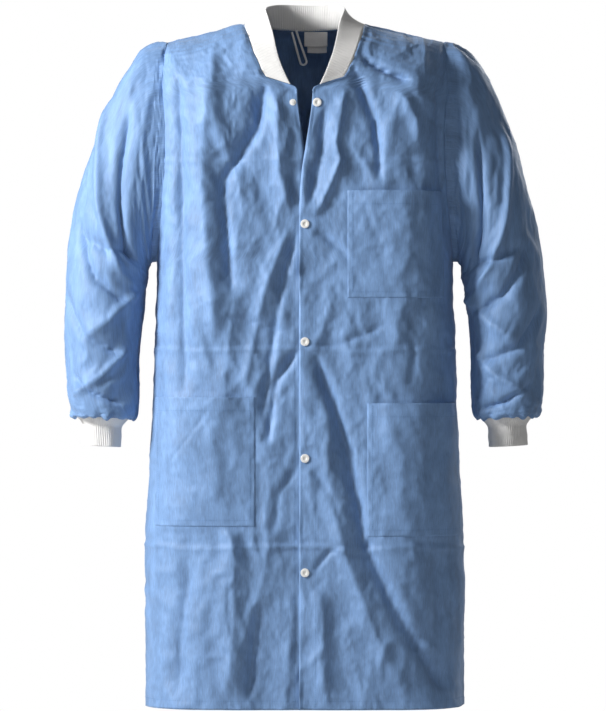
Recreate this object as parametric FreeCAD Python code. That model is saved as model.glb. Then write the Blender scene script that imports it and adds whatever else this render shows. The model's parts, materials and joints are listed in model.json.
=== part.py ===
"""A snap-front laboratory coat with knit collar and cuffs, worn shape, in millimetres.

The coat hangs as it does on a wearer: front towards -Y, +X to the viewer's right, +Z up.
All heights are first measured up from the hem; the last step moves the origin to the hang
loop's stitching at the centre back of the neck.  "left" and "right" are the wearer's own.
"""
import math
import os

import FreeCAD, Part

V = FreeCAD.Vector

# Body of the coat
SHOULDER_HEIGHT = 1052.0      # hem to the top of the shoulder beside the neck
YOKE = 97.0                   # height over which the chest rolls back to the shoulder seam
CHEST_HALF_WIDTH = 228.0
HEM_FLARE = 17.0              # how much further out the hem stands on each side
HEM_FLARE_TOP = 650.0         # where the flare starts, above the hem
HEM_FLARE_SPAN = 500.0
FRONT_FLAT = 125.0            # half width of the flat middle of the front and back
FRONT_DEPTH = 97.0            # shoulder seam forward to the chest
FRONT_HEM_FLARE = 31.0
BACK_DEPTH = 97.0
BACK_HEM_FLARE = 24.0
SIDE_ROUNDNESS = 2.5          # exponent of the side curve; 2 is an ellipse
BACK_ROUNDNESS = 3.0          # exponent of the upper back's roll
SHOULDER_TAPER = 9.0          # how much narrower the shoulders are than the chest
SHOULDER_SLOPE = 28.0 / 120.0
SLOPE_START = 250.0           # below the shoulder, where the slope begins to show
FABRIC = 1.0                  # thickness of the nonwoven sheet as a solid
SEAM = 0.5                    # gap left between two panels that are sewn together

# Neck and knit collar
NECK_HALF_WIDTH = 93.0
NECK_FRONT_HALF = 60.0        # half distance between the collar's two front ends, at the seam
COLLAR_WIDTH = 40.0
COLLAR_THICKNESS = 2.0

# Front opening
FOLD_TOP = 26.0               # fold line from the centre at the collar
FOLD_HEM = 85.0               # fold line from the centre at the hem
OVERLAP = 9.0                 # how far each front edge passes the snap line
V_TOP = 12.0                  # left edge's distance from the centre at the top of the V
V_DEPTH = 205.0               # how far down the V reaches
FLAP_TOP_DROP = 5.0           # flap's upper edge below the collar ends
FOLD_GAP = 0.5
UNDER_SINK = 3.8              # how far the under front lies behind the upper one
SINK_END = 45.0               # below the yoke line, where the two fronts lie level again
SINK_FADE = 50.0

# Snaps
SNAP_DROPS = (28.0, 214.0, 394.0, 572.0, 746.0)   # below the yoke line
TOP_SNAP_OUT = 18.6           # the open top snap stands this far from the centre
CAP_R = 6.75
CAP_HEIGHT = 1.9
DIMPLE_R = 3.1
DIMPLE_DEPTH = 0.9
CAP_STEM_R = 1.5
SOCKET_R = 5.2
SOCKET_HEIGHT = 2.1
SOCKET_FLOOR = 0.7
STUD_BASE_R = 5.0
STUD_BASE = 0.5
STUD_R = 2.45
STUD_HEIGHT = 1.3
POST_R = 6.0
POST_HEIGHT = 1.1
POST_STEM_R = 1.2
SNAP_PLAY = 0.1               # radial play of a stem in its hole and of a stud in its socket
FACE_GAP = 0.05               # gap between parts clamped face to face

# Armholes, sleeves and cuffs
ARMHOLE = 366.0               # height of the armhole
ARMHOLE_HALF_DEPTH = 61.0
ELBOW_WIDTH = 124.0
WRIST_WIDTH = 101.0
SLEEVE_HALF_DEPTH = 66.0
UNDERARM = 232.0              # underarm seam, armpit down to the wrist gathers
UNDERARM_OUT = 33.0           # how far the wrist stands out from the armpit
WRIST_FORWARD = 24.0
SLEEVE_CLEAR = 2.6            # sleeve's head from the body's armhole edge
CUFF_R = 29.5
CUFF_FLARE_R = 41.0
CUFF_THICKNESS = 2.0
CUFF_LENGTH = 46.0
CUFF_STRAIGHT = 28.0
CUFF_TILT = 3.0               # degrees

# Pockets: top edge below the shoulder, height, inner and outer edge from the centre
CHEST_POCKET = (260.0, 164.0, 65.0, 212.0)
LEFT_POCKET = (585.0, 203.0, 95.0, 238.0)
RIGHT_POCKET = (576.0, 197.0, 76.0, 228.0)
POCKET_GAPE = 10.0            # how far the mouth stands off the coat
POCKET_FOOT = 0.4             # gap under a pocket's sewn edges

# Labels and hang loop inside the back of the neck
LABEL_WIDTH = 36.0
LABEL_HEIGHT = 23.0
CARE_WIDTH = 30.0
CARE_HEIGHT = 33.0
LABEL_SIDE = 17.0             # labels' middle, to the left of the centre back
LABEL_THICKNESS = 0.5
LABEL_GAP = 1.0
LOOP_HEIGHT = 56.0
LOOP_TAPE = 3.0
LOOP_GAP = 7.0
LOOP_THICKNESS = 0.8
LOOP_SIDE = -17.0             # loop's middle at the seam, to the right of the centre back
LOOP_SLANT = 17.0             # degrees it hangs to the left of straight down
HANG_CLEAR = 3.0              # labels' and loop's stitching in from the neck seam

YOKE_Z = SHOULDER_HEIGHT - YOKE
TOP_H = YOKE_Z + YOKE * math.pi / 2      # the shoulder seam, measured along the cloth
ARMPIT_Z = SHOULDER_HEIGHT - ARMHOLE
LEFT, RIGHT = 1, -1                      # the wearer's left is on +X


def smooth(t):
    """0 to 1 with a soft start and end."""
    t = min(1.0, max(0.0, t))
    return t * t * (3 - 2 * t)


def blend(pairs, t):
    """The value at t on a line through (t, value) pairs."""
    for (t0, a), (t1, b) in zip(pairs, pairs[1:]):
        if t <= t1:
            return a + (b - a) * (t - t0) / (t1 - t0)
    return pairs[-1][1]


# ---------------------------------------------------------------- the body's surface
def roll(h, exponent):
    """(depth share, height share) of the yoke's roll at a height h along the cloth."""
    w = min(math.pi / 2, (h - YOKE_Z) / YOKE)
    c, s = max(math.cos(w), 0.0), math.sin(w)
    r = (c ** exponent + s ** exponent) ** (-1 / exponent)
    return r * c, r * s


def section(h, back):
    """(height, half width, depth) of the coat at a height h along the cloth."""
    flare = HEM_FLARE * smooth((HEM_FLARE_TOP - h) / HEM_FLARE_SPAN)
    depth, hem = (BACK_DEPTH, BACK_HEM_FLARE) if back else (FRONT_DEPTH, FRONT_HEM_FLARE)
    if h <= YOKE_Z:
        return h, CHEST_HALF_WIDTH + flare, depth + hem * (1 - h / YOKE_Z)
    share, rise = roll(h, BACK_ROUNDNESS if back else 2.0)
    narrow = SHOULDER_TAPER * smooth((h - YOKE_Z) / (TOP_H - YOKE_Z))
    return YOKE_Z + YOKE * rise, CHEST_HALF_WIDTH + flare - narrow, depth * share


def cloth_height(z, back):
    """The height along the cloth that reaches a height z above the hem."""
    if z <= YOKE_Z:
        return z
    low, high = YOKE_Z, TOP_H
    for _ in range(40):
        mid = (low + high) / 2
        low, high = (mid, high) if section(mid, back)[0] < z else (low, mid)
    return (low + high) / 2


def body(u, h):
    """A point on the coat's inner face.

    u is 0 at the centre front, 1 where the flat front ends, 2 at the side, 3 where the
    flat back starts and 4 at the centre back; it is negative towards the wearer's right.
    """
    side, u = math.copysign(1, u), abs(u)
    z, half, depth = section(h, u > 2)
    if 1 < u < 3:
        angle = (u - 1) * math.pi / 2
        x = FRONT_FLAT + (half - FRONT_FLAT) * math.sin(angle) ** (2 / SIDE_ROUNDNESS)
        y = depth * abs(math.cos(angle)) ** (2 / SIDE_ROUNDNESS)
    else:
        x, y = FRONT_FLAT * min(u, 4 - u), depth
    slope = SHOULDER_SLOPE * smooth((z - SHOULDER_HEIGHT + SLOPE_START) / SLOPE_START)
    drop = slope * max(0.0, x - NECK_HALF_WIDTH)
    return V(side * x, y if u > 2 else -y, z - drop)


def off(surface, u, v, d, du=0.004, dv=0.2):
    """The point d outside a surface at (u, v)."""
    along = surface(u + du, v) - surface(u - du, v)
    up = surface(u, v + dv) - surface(u, v - dv)
    normal = along.cross(up)
    normal.normalize()
    return surface(u, v) + normal * d


def off_body(u, h, d):
    return off(body, u, min(h, TOP_H - 0.25), d)


def u_of_x(x):
    """u of a point on the flat front."""
    return x / FRONT_FLAT


def u_of_wide_x(x, h):
    """u of a point on the front, flat or curved."""
    if abs(x) <= FRONT_FLAT:
        return u_of_x(x)
    half = section(h, False)[1]
    share = min(1.0, (abs(x) - FRONT_FLAT) / (half - FRONT_FLAT))
    return math.copysign(1 + math.asin(share ** (SIDE_ROUNDNESS / 2)) * 2 / math.pi, x)


def u_of_armhole(h, back):
    """Where the armhole's edge crosses the height h; the side seam below the armpit.

    Both edges take the front's depth, so that they meet at the shoulder seam.
    """
    z = section(min(h, TOP_H - 1.0), back)[0]
    depth = section(cloth_height(z, False), False)[2]
    middle = (SHOULDER_HEIGHT + ARMPIT_Z) / 2
    share = (z - middle) / (ARMHOLE / 2)
    if share <= -1:
        return 2.0
    y = ARMHOLE_HALF_DEPTH * math.sqrt(max(0.0, 1 - share * share))
    turn = math.acos(min(1.0, y / depth) ** (SIDE_ROUNDNESS / 2)) * 2 / math.pi
    return 3 - turn if back else 1 + turn


# ---------------------------------------------------------------- sheets as solids
def surface_through(rows):
    surface = Part.BSplineSurface()
    surface.interpolate(rows)
    return surface


def border(surface):
    """A surface's four edges as curves."""
    u0, u1, v0, v1 = surface.bounds()
    return surface.uIso(u0), surface.uIso(u1), surface.vIso(v0), surface.vIso(v1)


def sheet(at, us, vs, near, far):
    """A closed solid between two offsets of a surface.

    at(u, v, d) gives a point; us(v) gives the row's u values at v; near and far are
    offsets, or functions of (u, v) for a sheet that stands off or sinks.
    """
    def grid(offset):
        return [[at(u, v, offset(u, v) if callable(offset) else offset) for u in us(v)]
                for v in vs]

    low, high = surface_through(grid(near)), surface_through(grid(far))
    walls = [Part.makeRuledSurface(a.toShape(), b.toShape())
             for a, b in zip(border(low), border(high))]
    shell = Part.makeCompound([low.toShape(), high.toShape()] + walls)
    shell.sewShape(1e-4)
    solid = Part.Solid(shell.Shells[0])
    if solid.Volume < 0:
        solid.reverse()
    return solid


def steps(start, end, count):
    return [start + (end - start) * i / count for i in range(count + 1)]


def between(start, end, count):
    """A row's u values: start and end are functions of v."""
    return lambda v: steps(start(v), end(v), count)


def body_heights(top):
    """Rows up the body, closer together at the armpit and over the yoke."""
    rows = steps(0, ARMPIT_Z - 40, 9)
    rows += [ARMPIT_Z + d for d in (-24, -12, -4, 0, 3, 8, 18, 36, 66, 105, 150)]
    rows = [h for h in rows if h < YOKE_Z - 20]
    return rows + [top - (top - YOKE_Z + 8) * (1 - t) ** 1.4 for t in steps(0, 1, 16)]


# ---------------------------------------------------------------- neck and collar
# Stations from a front end to the centre back: distance from the centre, turn over the
# yoke in degrees (90 is the shoulder seam), and the way the band leans (in, back, up).
NECK_STATIONS = (
    (NECK_FRONT_HALF, 6.5, (-37, -3, -12)),
    (0.71 * NECK_HALF_WIDTH, 12.5, (-39, -6, -11)),
    (0.86 * NECK_HALF_WIDTH, 33.0, (-40, -9, -7)),
    (0.965 * NECK_HALF_WIDTH, 58.0, (-38, -9, 7)),
    (NECK_HALF_WIDTH, 86.0, (-34, -5, 22)),
    (0.88 * NECK_HALF_WIDTH, 104.0, (-26, -5, 31)),
    (0.54 * NECK_HALF_WIDTH, 116.0, (-12, -5, 36)),
    (0.0, 121.0, (0, -5, 38)),
)


def neck_point(x, turn, d=0.0):
    """A point on the body's inner face at x across and turn degrees over the yoke."""
    back = turn > 90
    h = YOKE_Z + YOKE * math.radians(180 - turn if back else turn)
    u = 4 - x / FRONT_FLAT if back else x / FRONT_FLAT
    return off_body(u, h, d) if d else body(u, min(h, TOP_H))


def neck_line():
    """The neck seam as points, from the right front end round to the left one."""
    half = [neck_point(x, turn) for x, turn, _ in NECK_STATIONS]
    mirrored = [V(-p.x, p.y, p.z) for p in half[:-1]]
    return mirrored + half[::-1]


def collar_edges():
    """Two curves: the neck seam and the collar's free edge."""
    seam, free = [], []
    for x, turn, lean in NECK_STATIONS:
        lean = V(*lean)
        lean.normalize()
        start = neck_point(x, turn) + lean * SEAM
        seam.append(start)
        free.append(start + lean * COLLAR_WIDTH)

    def whole(half):
        curve = Part.BSplineCurve()
        curve.interpolate([V(-p.x, p.y, p.z) for p in half[:-1]] + half[::-1])
        return curve

    return whole(seam), whole(free)


def collar_band(rows, near, far):
    """The collar between two offsets; rows run from 0 at the neck seam to 1 at the free edge."""
    seam, free = collar_edges()

    def band(t, w):
        a, b = (c.value(c.FirstParameter + (c.LastParameter - c.FirstParameter) * t)
                for c in (seam, free))
        return a + (b - a) * w

    def at(t, w, d):
        t = min(0.999, max(0.001, t))
        return off(band, t, w, d, 0.001, 0.01)

    return sheet(at, lambda w: steps(0.002, 0.998, 40), rows, near, far)


def collar():
    return collar_band(steps(0, 1, 3), -0.5, COLLAR_THICKNESS - 0.5)


def collar_room():
    """The collar's lower edge with the seam's gap all round it."""
    return collar_band(steps(-0.03, 0.3, 3), -0.5 - SEAM, COLLAR_THICKNESS - 0.5 + SEAM)


def neck_cutter():
    """What the neck opening and the collar remove from the front and from the back."""
    front = [neck_point(x, turn) for x, turn, _ in NECK_STATIONS[:5]]
    outline = [(FOLD_TOP - 4, YOKE_Z - 1.5)] + [(p.x, p.z) for p in front]
    outline.append((NECK_HALF_WIDTH, SHOULDER_HEIGHT + 20))
    points = [V(-x, -400, z) for x, z in outline] + [V(x, -400, z) for x, z in outline[::-1]]
    front_prism = Part.Face(Part.makePolygon(points + points[:1])).extrude(V(0, 400, 0))
    back = [neck_point(x, turn) for x, turn, _ in NECK_STATIONS[4:]]
    ring = [V(-p.x, p.y, 0) for p in back] + [V(p.x, p.y, 0) for p in back[::-1][1:]]
    ring = [V(-NECK_HALF_WIDTH, -6, 0)] + ring + [V(NECK_HALF_WIDTH, -6, 0)]
    base = Part.Face(Part.makePolygon(ring + ring[:1]))
    base.translate(V(0, 0, YOKE_Z + 30))
    room = collar_room()
    return [front_prism, room], [base.extrude(V(0, 0, 200)), room]


# ---------------------------------------------------------------- panels and flaps
def fold_x(h):
    """The fold line's distance from the centre."""
    return FOLD_TOP + (FOLD_HEM - FOLD_TOP) * max(0.0, 1 - h / YOKE_Z)


def edge_x(h):
    """How far the upper front's edge passes the centre, less where the V opens."""
    return -OVERLAP + (V_TOP + OVERLAP) * smooth((h - YOKE_Z + V_DEPTH) / V_DEPTH) ** 1.3


def trimmed(panel, cutters):
    """A panel with its neck cut out; the offcuts inside the neck fall away."""
    for cutter in cutters:
        panel = panel.cut(cutter)
    return max(panel.Solids, key=lambda solid: solid.Volume)


def front_panel(side, cutters):
    def start(h):
        return u_of_x(fold_x(h) + FOLD_GAP)

    def end(h):
        return u_of_armhole(h, False) - SEAM / 400

    def at(u, h, d):
        return off_body(side * u, h, d)

    panel = sheet(at, between(start, end, 16), body_heights(TOP_H - SEAM), 0, FABRIC)
    return trimmed(panel, cutters[0])


def back_panel(cutters):
    def start(h):
        return u_of_armhole(h, True) + SEAM / 400

    def at(u, h, d):
        return off_body(u if u <= 4 else u - 8, h, d)

    def row(h):
        return steps(start(h), 8 - start(h), 24)

    panel = sheet(at, row, body_heights(TOP_H - SEAM), 0, FABRIC)
    return trimmed(panel, cutters[1])


def sink(x, h):
    """How far the under front lies behind the coat's surface at x; none where the V is open."""
    fold = fold_x(h)
    across = smooth((x + fold - 2) / (0.5 * (fold - edge_x(h))))
    return -UNDER_SINK * across * smooth((YOKE_Z - SINK_END - h) / SINK_FADE)


def flap(side):
    """The part of a front panel between its fold line and its edge."""
    def row(h):
        inner, outer = edge_x(h), fold_x(h) - FOLD_GAP
        return [side * u_of_x(x) for x in steps(inner, outer, 20)]

    def under(u, h):
        return sink(u * FRONT_FLAT, h) if side == RIGHT else 0.0

    top = YOKE_Z - FLAP_TOP_DROP
    rows = steps(0, top - V_DEPTH - 20, 10) + steps(top - V_DEPTH + 10, top, 16)
    return sheet(off_body, row, rows, under, lambda u, h: under(u, h) + FABRIC)


# ---------------------------------------------------------------- snaps
def disc(radius, low, high):
    return Part.makeCylinder(radius, high - low, V(0, 0, low))


def ring(outer, inner, low, high):
    return disc(outer, low, high).cut(disc(inner, low - 1, high + 1))


def snap_cap():
    """A round cap with a raised rim, and a stem through the upper front."""
    low, high = FABRIC + FACE_GAP, FABRIC + FACE_GAP + CAP_HEIGHT
    head = disc(CAP_R, low, high)
    head = head.makeFillet(0.8, [e for e in head.Edges
                                 if e.BoundBox.ZMin > high - 0.01 and e.BoundBox.XLength > 1])
    head = head.cut(Part.makeCone(DIMPLE_R - 0.6, DIMPLE_R, DIMPLE_DEPTH,
                                  V(0, 0, high - DIMPLE_DEPTH)))
    return head.fuse(disc(CAP_STEM_R, -FACE_GAP - SOCKET_FLOOR, low)).removeSplitter()


def snap_socket():
    """A ring behind the upper front that takes the stud."""
    back = -FACE_GAP
    body_ring = disc(SOCKET_R, back - SOCKET_HEIGHT, back)
    hollow = disc(STUD_R + SNAP_PLAY, back - SOCKET_HEIGHT - 1, back - SOCKET_FLOOR)
    return body_ring.cut(hollow).cut(disc(CAP_STEM_R + SNAP_PLAY, back - 3, back + 1))


def snap_stud():
    """A knob on the under front's outer face."""
    low = FABRIC + FACE_GAP
    base = disc(STUD_BASE_R, low, low + STUD_BASE)
    knob = disc(STUD_R, low, low + STUD_BASE + STUD_HEIGHT)
    knob = knob.makeFillet(0.4, [e for e in knob.Edges if e.BoundBox.ZMin > low + 1
                                 and e.BoundBox.XLength > 1])
    return base.fuse(knob).cut(disc(POST_STEM_R + SNAP_PLAY, low - 1, low + 3)).removeSplitter()


def snap_post():
    """A ring behind the under front with the stem that holds the stud."""
    face = -FACE_GAP
    back = disc(POST_R, face - POST_HEIGHT, face)
    stem = disc(POST_STEM_R, face, FABRIC + FACE_GAP + STUD_BASE + 0.6 * STUD_HEIGHT)
    return back.fuse(stem).removeSplitter()


def snap_places(side):
    """(x, h) of each snap on the left or the right front."""
    return [(side * TOP_SNAP_OUT if i == 0 else 0.0, YOKE_Z - drop)
            for i, drop in enumerate(SNAP_DROPS)]


def on_front(shape, side, x, h):
    """A shape made about +Z, moved to a front's inner face with +Z pointing out of the coat."""
    point = off_body(u_of_x(x), h, sink(x, h) if side == RIGHT else 0)
    normal = off_body(u_of_x(x), h, 1) - off_body(u_of_x(x), h, 0)
    moved = shape.copy()
    moved.Placement = FreeCAD.Placement(point, FreeCAD.Rotation(V(0, 0, 1), normal))
    return moved


def snap_group(make, side):
    return Part.makeCompound([on_front(make(), side, x, h) for x, h in snap_places(side)])


def pierced(panel, side, stem_r):
    for x, h in snap_places(side):
        panel = panel.cut(on_front(disc(stem_r + SNAP_PLAY, -8, 8), side, x, h))
    return panel


# ---------------------------------------------------------------- sleeves and cuffs
# Rings down the sleeve: fan angle from level, share of the extra width left from the
# armhole, share of the way down the underarm, share of the way out.
SLEEVE_RINGS = (
    (84.0, 0.800, 0.013, 0.03),
    (68.0, 0.437, 0.060, 0.12),
    (50.0, 0.216, 0.154, 0.21),
    (25.0, 0.075, 0.282, 0.33),
    (7.0, 0.0, 0.517, 0.58),
    (0.0, -0.4, 0.795, 0.76),
    (0.0, -1.0, 1.0, 1.0),
)


def armhole_point(angle):
    """A point on the armhole: 0 at the shoulder, 90 at the front, 180 at the armpit."""
    turn = math.radians(angle)
    z = (SHOULDER_HEIGHT + ARMPIT_Z) / 2 + ARMHOLE / 2 * math.cos(turn)
    back = angle > 180
    h = cloth_height(z, back)
    return body(u_of_armhole(h, back), h)


def cuff_centre():
    """The middle of the cuff's upper edge."""
    inner = armpit().x + UNDERARM_OUT
    return V(inner + WRIST_WIDTH / 2, -WRIST_FORWARD, ARMPIT_Z - UNDERARM - 7)


def armpit():
    return body(2, ARMPIT_Z)


def sleeve_ring(k, angle):
    """A point on ring k of the sleeve, counted from the armhole."""
    turn = math.radians(angle)
    if k == 0:
        point = armhole_point(angle)
        return point + V(SLEEVE_CLEAR, 0, 0)
    if k > len(SLEEVE_RINGS):
        tilt, r = math.radians(CUFF_TILT), CUFF_FLARE_R - CUFF_THICKNESS
        x, z = r * math.cos(turn), FABRIC + 2 * SEAM
        return cuff_centre() + V(x * math.cos(tilt) - z * math.sin(tilt), -r * math.sin(turn),
                                 x * math.sin(tilt) + z * math.cos(tilt))
    fan, extra, down, out = SLEEVE_RINGS[k - 1]
    full = ARMHOLE if extra >= 0 else 2 * ELBOW_WIDTH - WRIST_WIDTH
    width = ELBOW_WIDTH + abs(extra) * (full - ELBOW_WIDTH) * (1 if extra >= 0 else -1)
    fan = math.radians(fan)
    reach = V(math.cos(fan), 0, math.sin(fan)) * width
    clear = SLEEVE_CLEAR * (1 - out)
    inner = armpit() + V(UNDERARM_OUT * out + clear, -WRIST_FORWARD * down, -UNDERARM * down)
    depth = min(width / 2, SLEEVE_HALF_DEPTH)
    return inner + reach * ((1 + math.cos(turn)) / 2) + V(0, -depth * math.sin(turn), 0)


def sleeve(side):
    """A tube from the armhole to the cuff, closed along the underarm seam."""
    count = len(SLEEVE_RINGS) + 2
    angles = steps(-179.8, 179.8, 24)
    rings = [[sleeve_ring(k, a % 360) for a in angles] for k in range(count)]
    flat = Part.BSplineSurface()
    flat.interpolate(rings)
    u0, u1, v0, v1 = flat.bounds()

    def smooth_tube(a, k):
        a, k = min(1.0, max(0.0, a)), min(1.0, max(0.0, k))
        return flat.value(u0 + (u1 - u0) * k, v0 + (v1 - v0) * a)

    def at(a, k, d):
        point = off(smooth_tube, min(0.998, max(0.002, a)), min(0.99, max(0.01, k)), d, 0.002, 0.01)
        shift = point - smooth_tube(min(0.998, max(0.002, a)), min(0.99, max(0.01, k)))
        point = smooth_tube(a, k) + shift
        return V(side * point.x, point.y, point.z)

    return sheet(at, lambda k: steps(0.0, 1.0, 28), steps(0.0, 1.0, 16), 0, FABRIC)


def cuff(side):
    """A knit tube: flared where the sleeve is gathered in, straight at the wrist."""
    r, flare, t = CUFF_R, CUFF_FLARE_R, CUFF_THICKNESS
    low, neck = -CUFF_LENGTH, -CUFF_LENGTH + CUFF_STRAIGHT
    outer = Part.BSplineCurve()
    outer.interpolate([V(r, 0, neck), V((r + flare) / 2, 0, neck / 2 - 1), V(flare, 0, 0)],
                      InitialTangent=V(0, 0, 1), FinalTangent=V(0.6, 0, 1))
    inner = Part.BSplineCurve()
    inner.interpolate([V(r - t, 0, neck), V((r + flare) / 2 - t, 0, neck / 2 - 1),
                       V(flare - t, 0, 0)], InitialTangent=V(0, 0, 1), FinalTangent=V(0.6, 0, 1))
    wire = Part.Wire([
        Part.makeLine(V(r, 0, low), V(r, 0, neck)), outer.toShape(),
        Part.makeLine(V(flare, 0, 0), V(flare - t, 0, 0)), inner.toShape(),
        Part.makeLine(V(r - t, 0, neck), V(r - t, 0, low)),
        Part.makeLine(V(r - t, 0, low), V(r, 0, low))])
    tube = Part.Face(wire).revolve(V(0, 0, 0), V(0, 0, 1), 360)
    tube = Part.Solid(tube.Shells[0]) if tube.ShapeType != "Solid" else tube
    if tube.Volume < 0:
        tube.reverse()
    tube.rotate(V(0, 0, 0), V(0, 1, 0), -side * CUFF_TILT)
    centre = cuff_centre()
    tube.translate(V(side * centre.x, centre.y, centre.z))
    return tube


# ---------------------------------------------------------------- pockets
def pocket(side, size):
    """A patch sewn on three sides, whose mouth stands off the coat."""
    drop, height, inner, outer = size
    top = SHOULDER_HEIGHT - drop
    low = top - height

    def row(h):
        first = abs(u_of_wide_x(inner, h))
        last = abs(u_of_wide_x(min(outer, section(h, False)[1] - 3), h))
        return [side * u for u in steps(first, last, 10)]

    def stand(u, h):
        us = row(h)
        share = (u - us[0]) / (us[-1] - us[0])
        across = smooth(share / 0.16) * smooth((1 - share) / 0.16)
        up = smooth((h - low) / (0.75 * height))
        return FABRIC + POCKET_FOOT + POCKET_GAPE * across * up

    rows = [low] + steps(low + 5, top, 8)
    return sheet(off_body, row, rows, stand, lambda u, h: stand(u, h) + FABRIC)


# ---------------------------------------------------------------- labels and loop
def label_seat():
    """The middle of the back neck seam, just inside the coat."""
    point = neck_point(0.0, NECK_STATIONS[-1][1])
    return V(0, point.y - HANG_CLEAR, point.z - 1)


def label(width, height, layer, shift):
    seat = label_seat()
    y = seat.y - layer * (LABEL_THICKNESS + LABEL_GAP)
    return Part.makeBox(width, LABEL_THICKNESS, height,
                        V(LABEL_SIDE + shift - width / 2, y, seat.z - height))


def hang_loop():
    """A narrow tape stitched at both ends, hanging down inside the neck."""
    seat = label_seat()
    width = 2 * LOOP_TAPE + LOOP_GAP
    x, z = LOOP_SIDE - width / 2, seat.z - LOOP_HEIGHT
    outer = Part.makeBox(width, LOOP_THICKNESS, LOOP_HEIGHT, V(x, seat.y, z))
    corners = [e for e in outer.Edges if abs(e.BoundBox.ZMax - z) < 0.1 and e.BoundBox.YLength > 0.5]
    outer = outer.makeFillet(width / 2 - 0.2, corners)
    gap = Part.makeBox(LOOP_GAP, 4, LOOP_HEIGHT, V(x + LOOP_TAPE, seat.y - 1, z + LOOP_TAPE))
    foot = [e for e in gap.Edges if abs(e.BoundBox.ZMax - z - LOOP_TAPE) < 0.1
            and e.BoundBox.YLength > 0.5]
    gap = gap.makeFillet(LOOP_GAP / 2 - 0.1, foot)
    loop = outer.cut(gap)
    loop.rotate(V(LOOP_SIDE, seat.y, seat.z), V(0, 1, 0), -LOOP_SLANT)
    return loop


# ---------------------------------------------------------------- the whole coat
def build():
    cutters = neck_cutter()
    parts = {
        "back_panel": back_panel(cutters),
        "front_panel_left": front_panel(LEFT, cutters),
        "front_panel_right": front_panel(RIGHT, cutters),
        "front_flap_left": pierced(flap(LEFT), LEFT, CAP_STEM_R),
        "front_flap_right": pierced(flap(RIGHT), RIGHT, POST_STEM_R),
        "knit_collar": collar(),
        "sleeve_left": sleeve(LEFT),
        "sleeve_right": sleeve(RIGHT),
        "knit_cuff_left": cuff(LEFT),
        "knit_cuff_right": cuff(RIGHT),
        "chest_pocket": pocket(LEFT, CHEST_POCKET),
        "lower_pocket_left": pocket(LEFT, LEFT_POCKET),
        "lower_pocket_right": pocket(RIGHT, RIGHT_POCKET),
        "neck_label": label(LABEL_WIDTH, LABEL_HEIGHT, 1, 0),
        "care_label": label(CARE_WIDTH, CARE_HEIGHT, 0, 2),
        "hang_loop": hang_loop(),
        "snap_caps": snap_group(snap_cap, LEFT),
        "snap_sockets": snap_group(snap_socket, LEFT),
        "snap_studs": snap_group(snap_stud, RIGHT),
        "snap_posts": snap_group(snap_post, RIGHT),
    }
    origin = label_seat()
    for name, shape in parts.items():
        shape.translate(V(-origin.x, -origin.y, -origin.z))
        shape.exportStep(f"parts/{name}.step")
        print(name, shape.ShapeType, len(shape.Solids), round(shape.Volume), shape.isValid())


os.makedirs("parts", exist_ok=True)
build()
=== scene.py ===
"""The look of a blue nonwoven lab coat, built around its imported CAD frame. Lengths are in mm
measured up from the hem until place() turns them into the frame's metres."""
import json
import math

import bpy
import numpy as np
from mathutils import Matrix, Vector


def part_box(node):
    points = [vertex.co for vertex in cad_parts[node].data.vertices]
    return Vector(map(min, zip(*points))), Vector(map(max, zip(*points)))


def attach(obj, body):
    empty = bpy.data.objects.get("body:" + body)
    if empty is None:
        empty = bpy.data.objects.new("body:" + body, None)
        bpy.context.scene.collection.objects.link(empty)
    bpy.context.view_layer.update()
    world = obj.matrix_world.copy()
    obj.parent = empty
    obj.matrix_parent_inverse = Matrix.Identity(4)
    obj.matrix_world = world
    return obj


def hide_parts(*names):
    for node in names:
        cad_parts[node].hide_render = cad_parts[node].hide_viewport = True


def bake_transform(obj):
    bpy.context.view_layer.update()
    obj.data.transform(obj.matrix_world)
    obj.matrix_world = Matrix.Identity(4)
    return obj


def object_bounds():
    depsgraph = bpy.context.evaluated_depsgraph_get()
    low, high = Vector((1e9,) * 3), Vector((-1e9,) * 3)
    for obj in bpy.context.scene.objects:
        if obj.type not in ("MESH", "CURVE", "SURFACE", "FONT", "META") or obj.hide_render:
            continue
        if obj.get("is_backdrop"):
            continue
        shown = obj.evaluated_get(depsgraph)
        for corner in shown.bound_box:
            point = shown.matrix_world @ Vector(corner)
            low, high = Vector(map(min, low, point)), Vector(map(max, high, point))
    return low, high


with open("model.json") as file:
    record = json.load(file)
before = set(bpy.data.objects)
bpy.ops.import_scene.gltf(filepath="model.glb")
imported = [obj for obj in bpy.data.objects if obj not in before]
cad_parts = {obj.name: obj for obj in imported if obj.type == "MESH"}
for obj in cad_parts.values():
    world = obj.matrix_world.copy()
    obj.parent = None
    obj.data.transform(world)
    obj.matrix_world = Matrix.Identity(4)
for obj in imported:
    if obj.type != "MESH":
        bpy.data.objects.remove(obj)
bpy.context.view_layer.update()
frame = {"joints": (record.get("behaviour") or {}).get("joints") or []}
JOINTS = {j["name"]: j for j in frame["joints"]}
LEFT, RIGHT = 1, -1
NAME = {LEFT: "left", RIGHT: "right"}
OUTWARD = {LEFT: slice(None), RIGHT: slice(None, None, -1)}    # column order whose faces look outward
MIRROR = np.array([-1, 1, 1])

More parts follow.
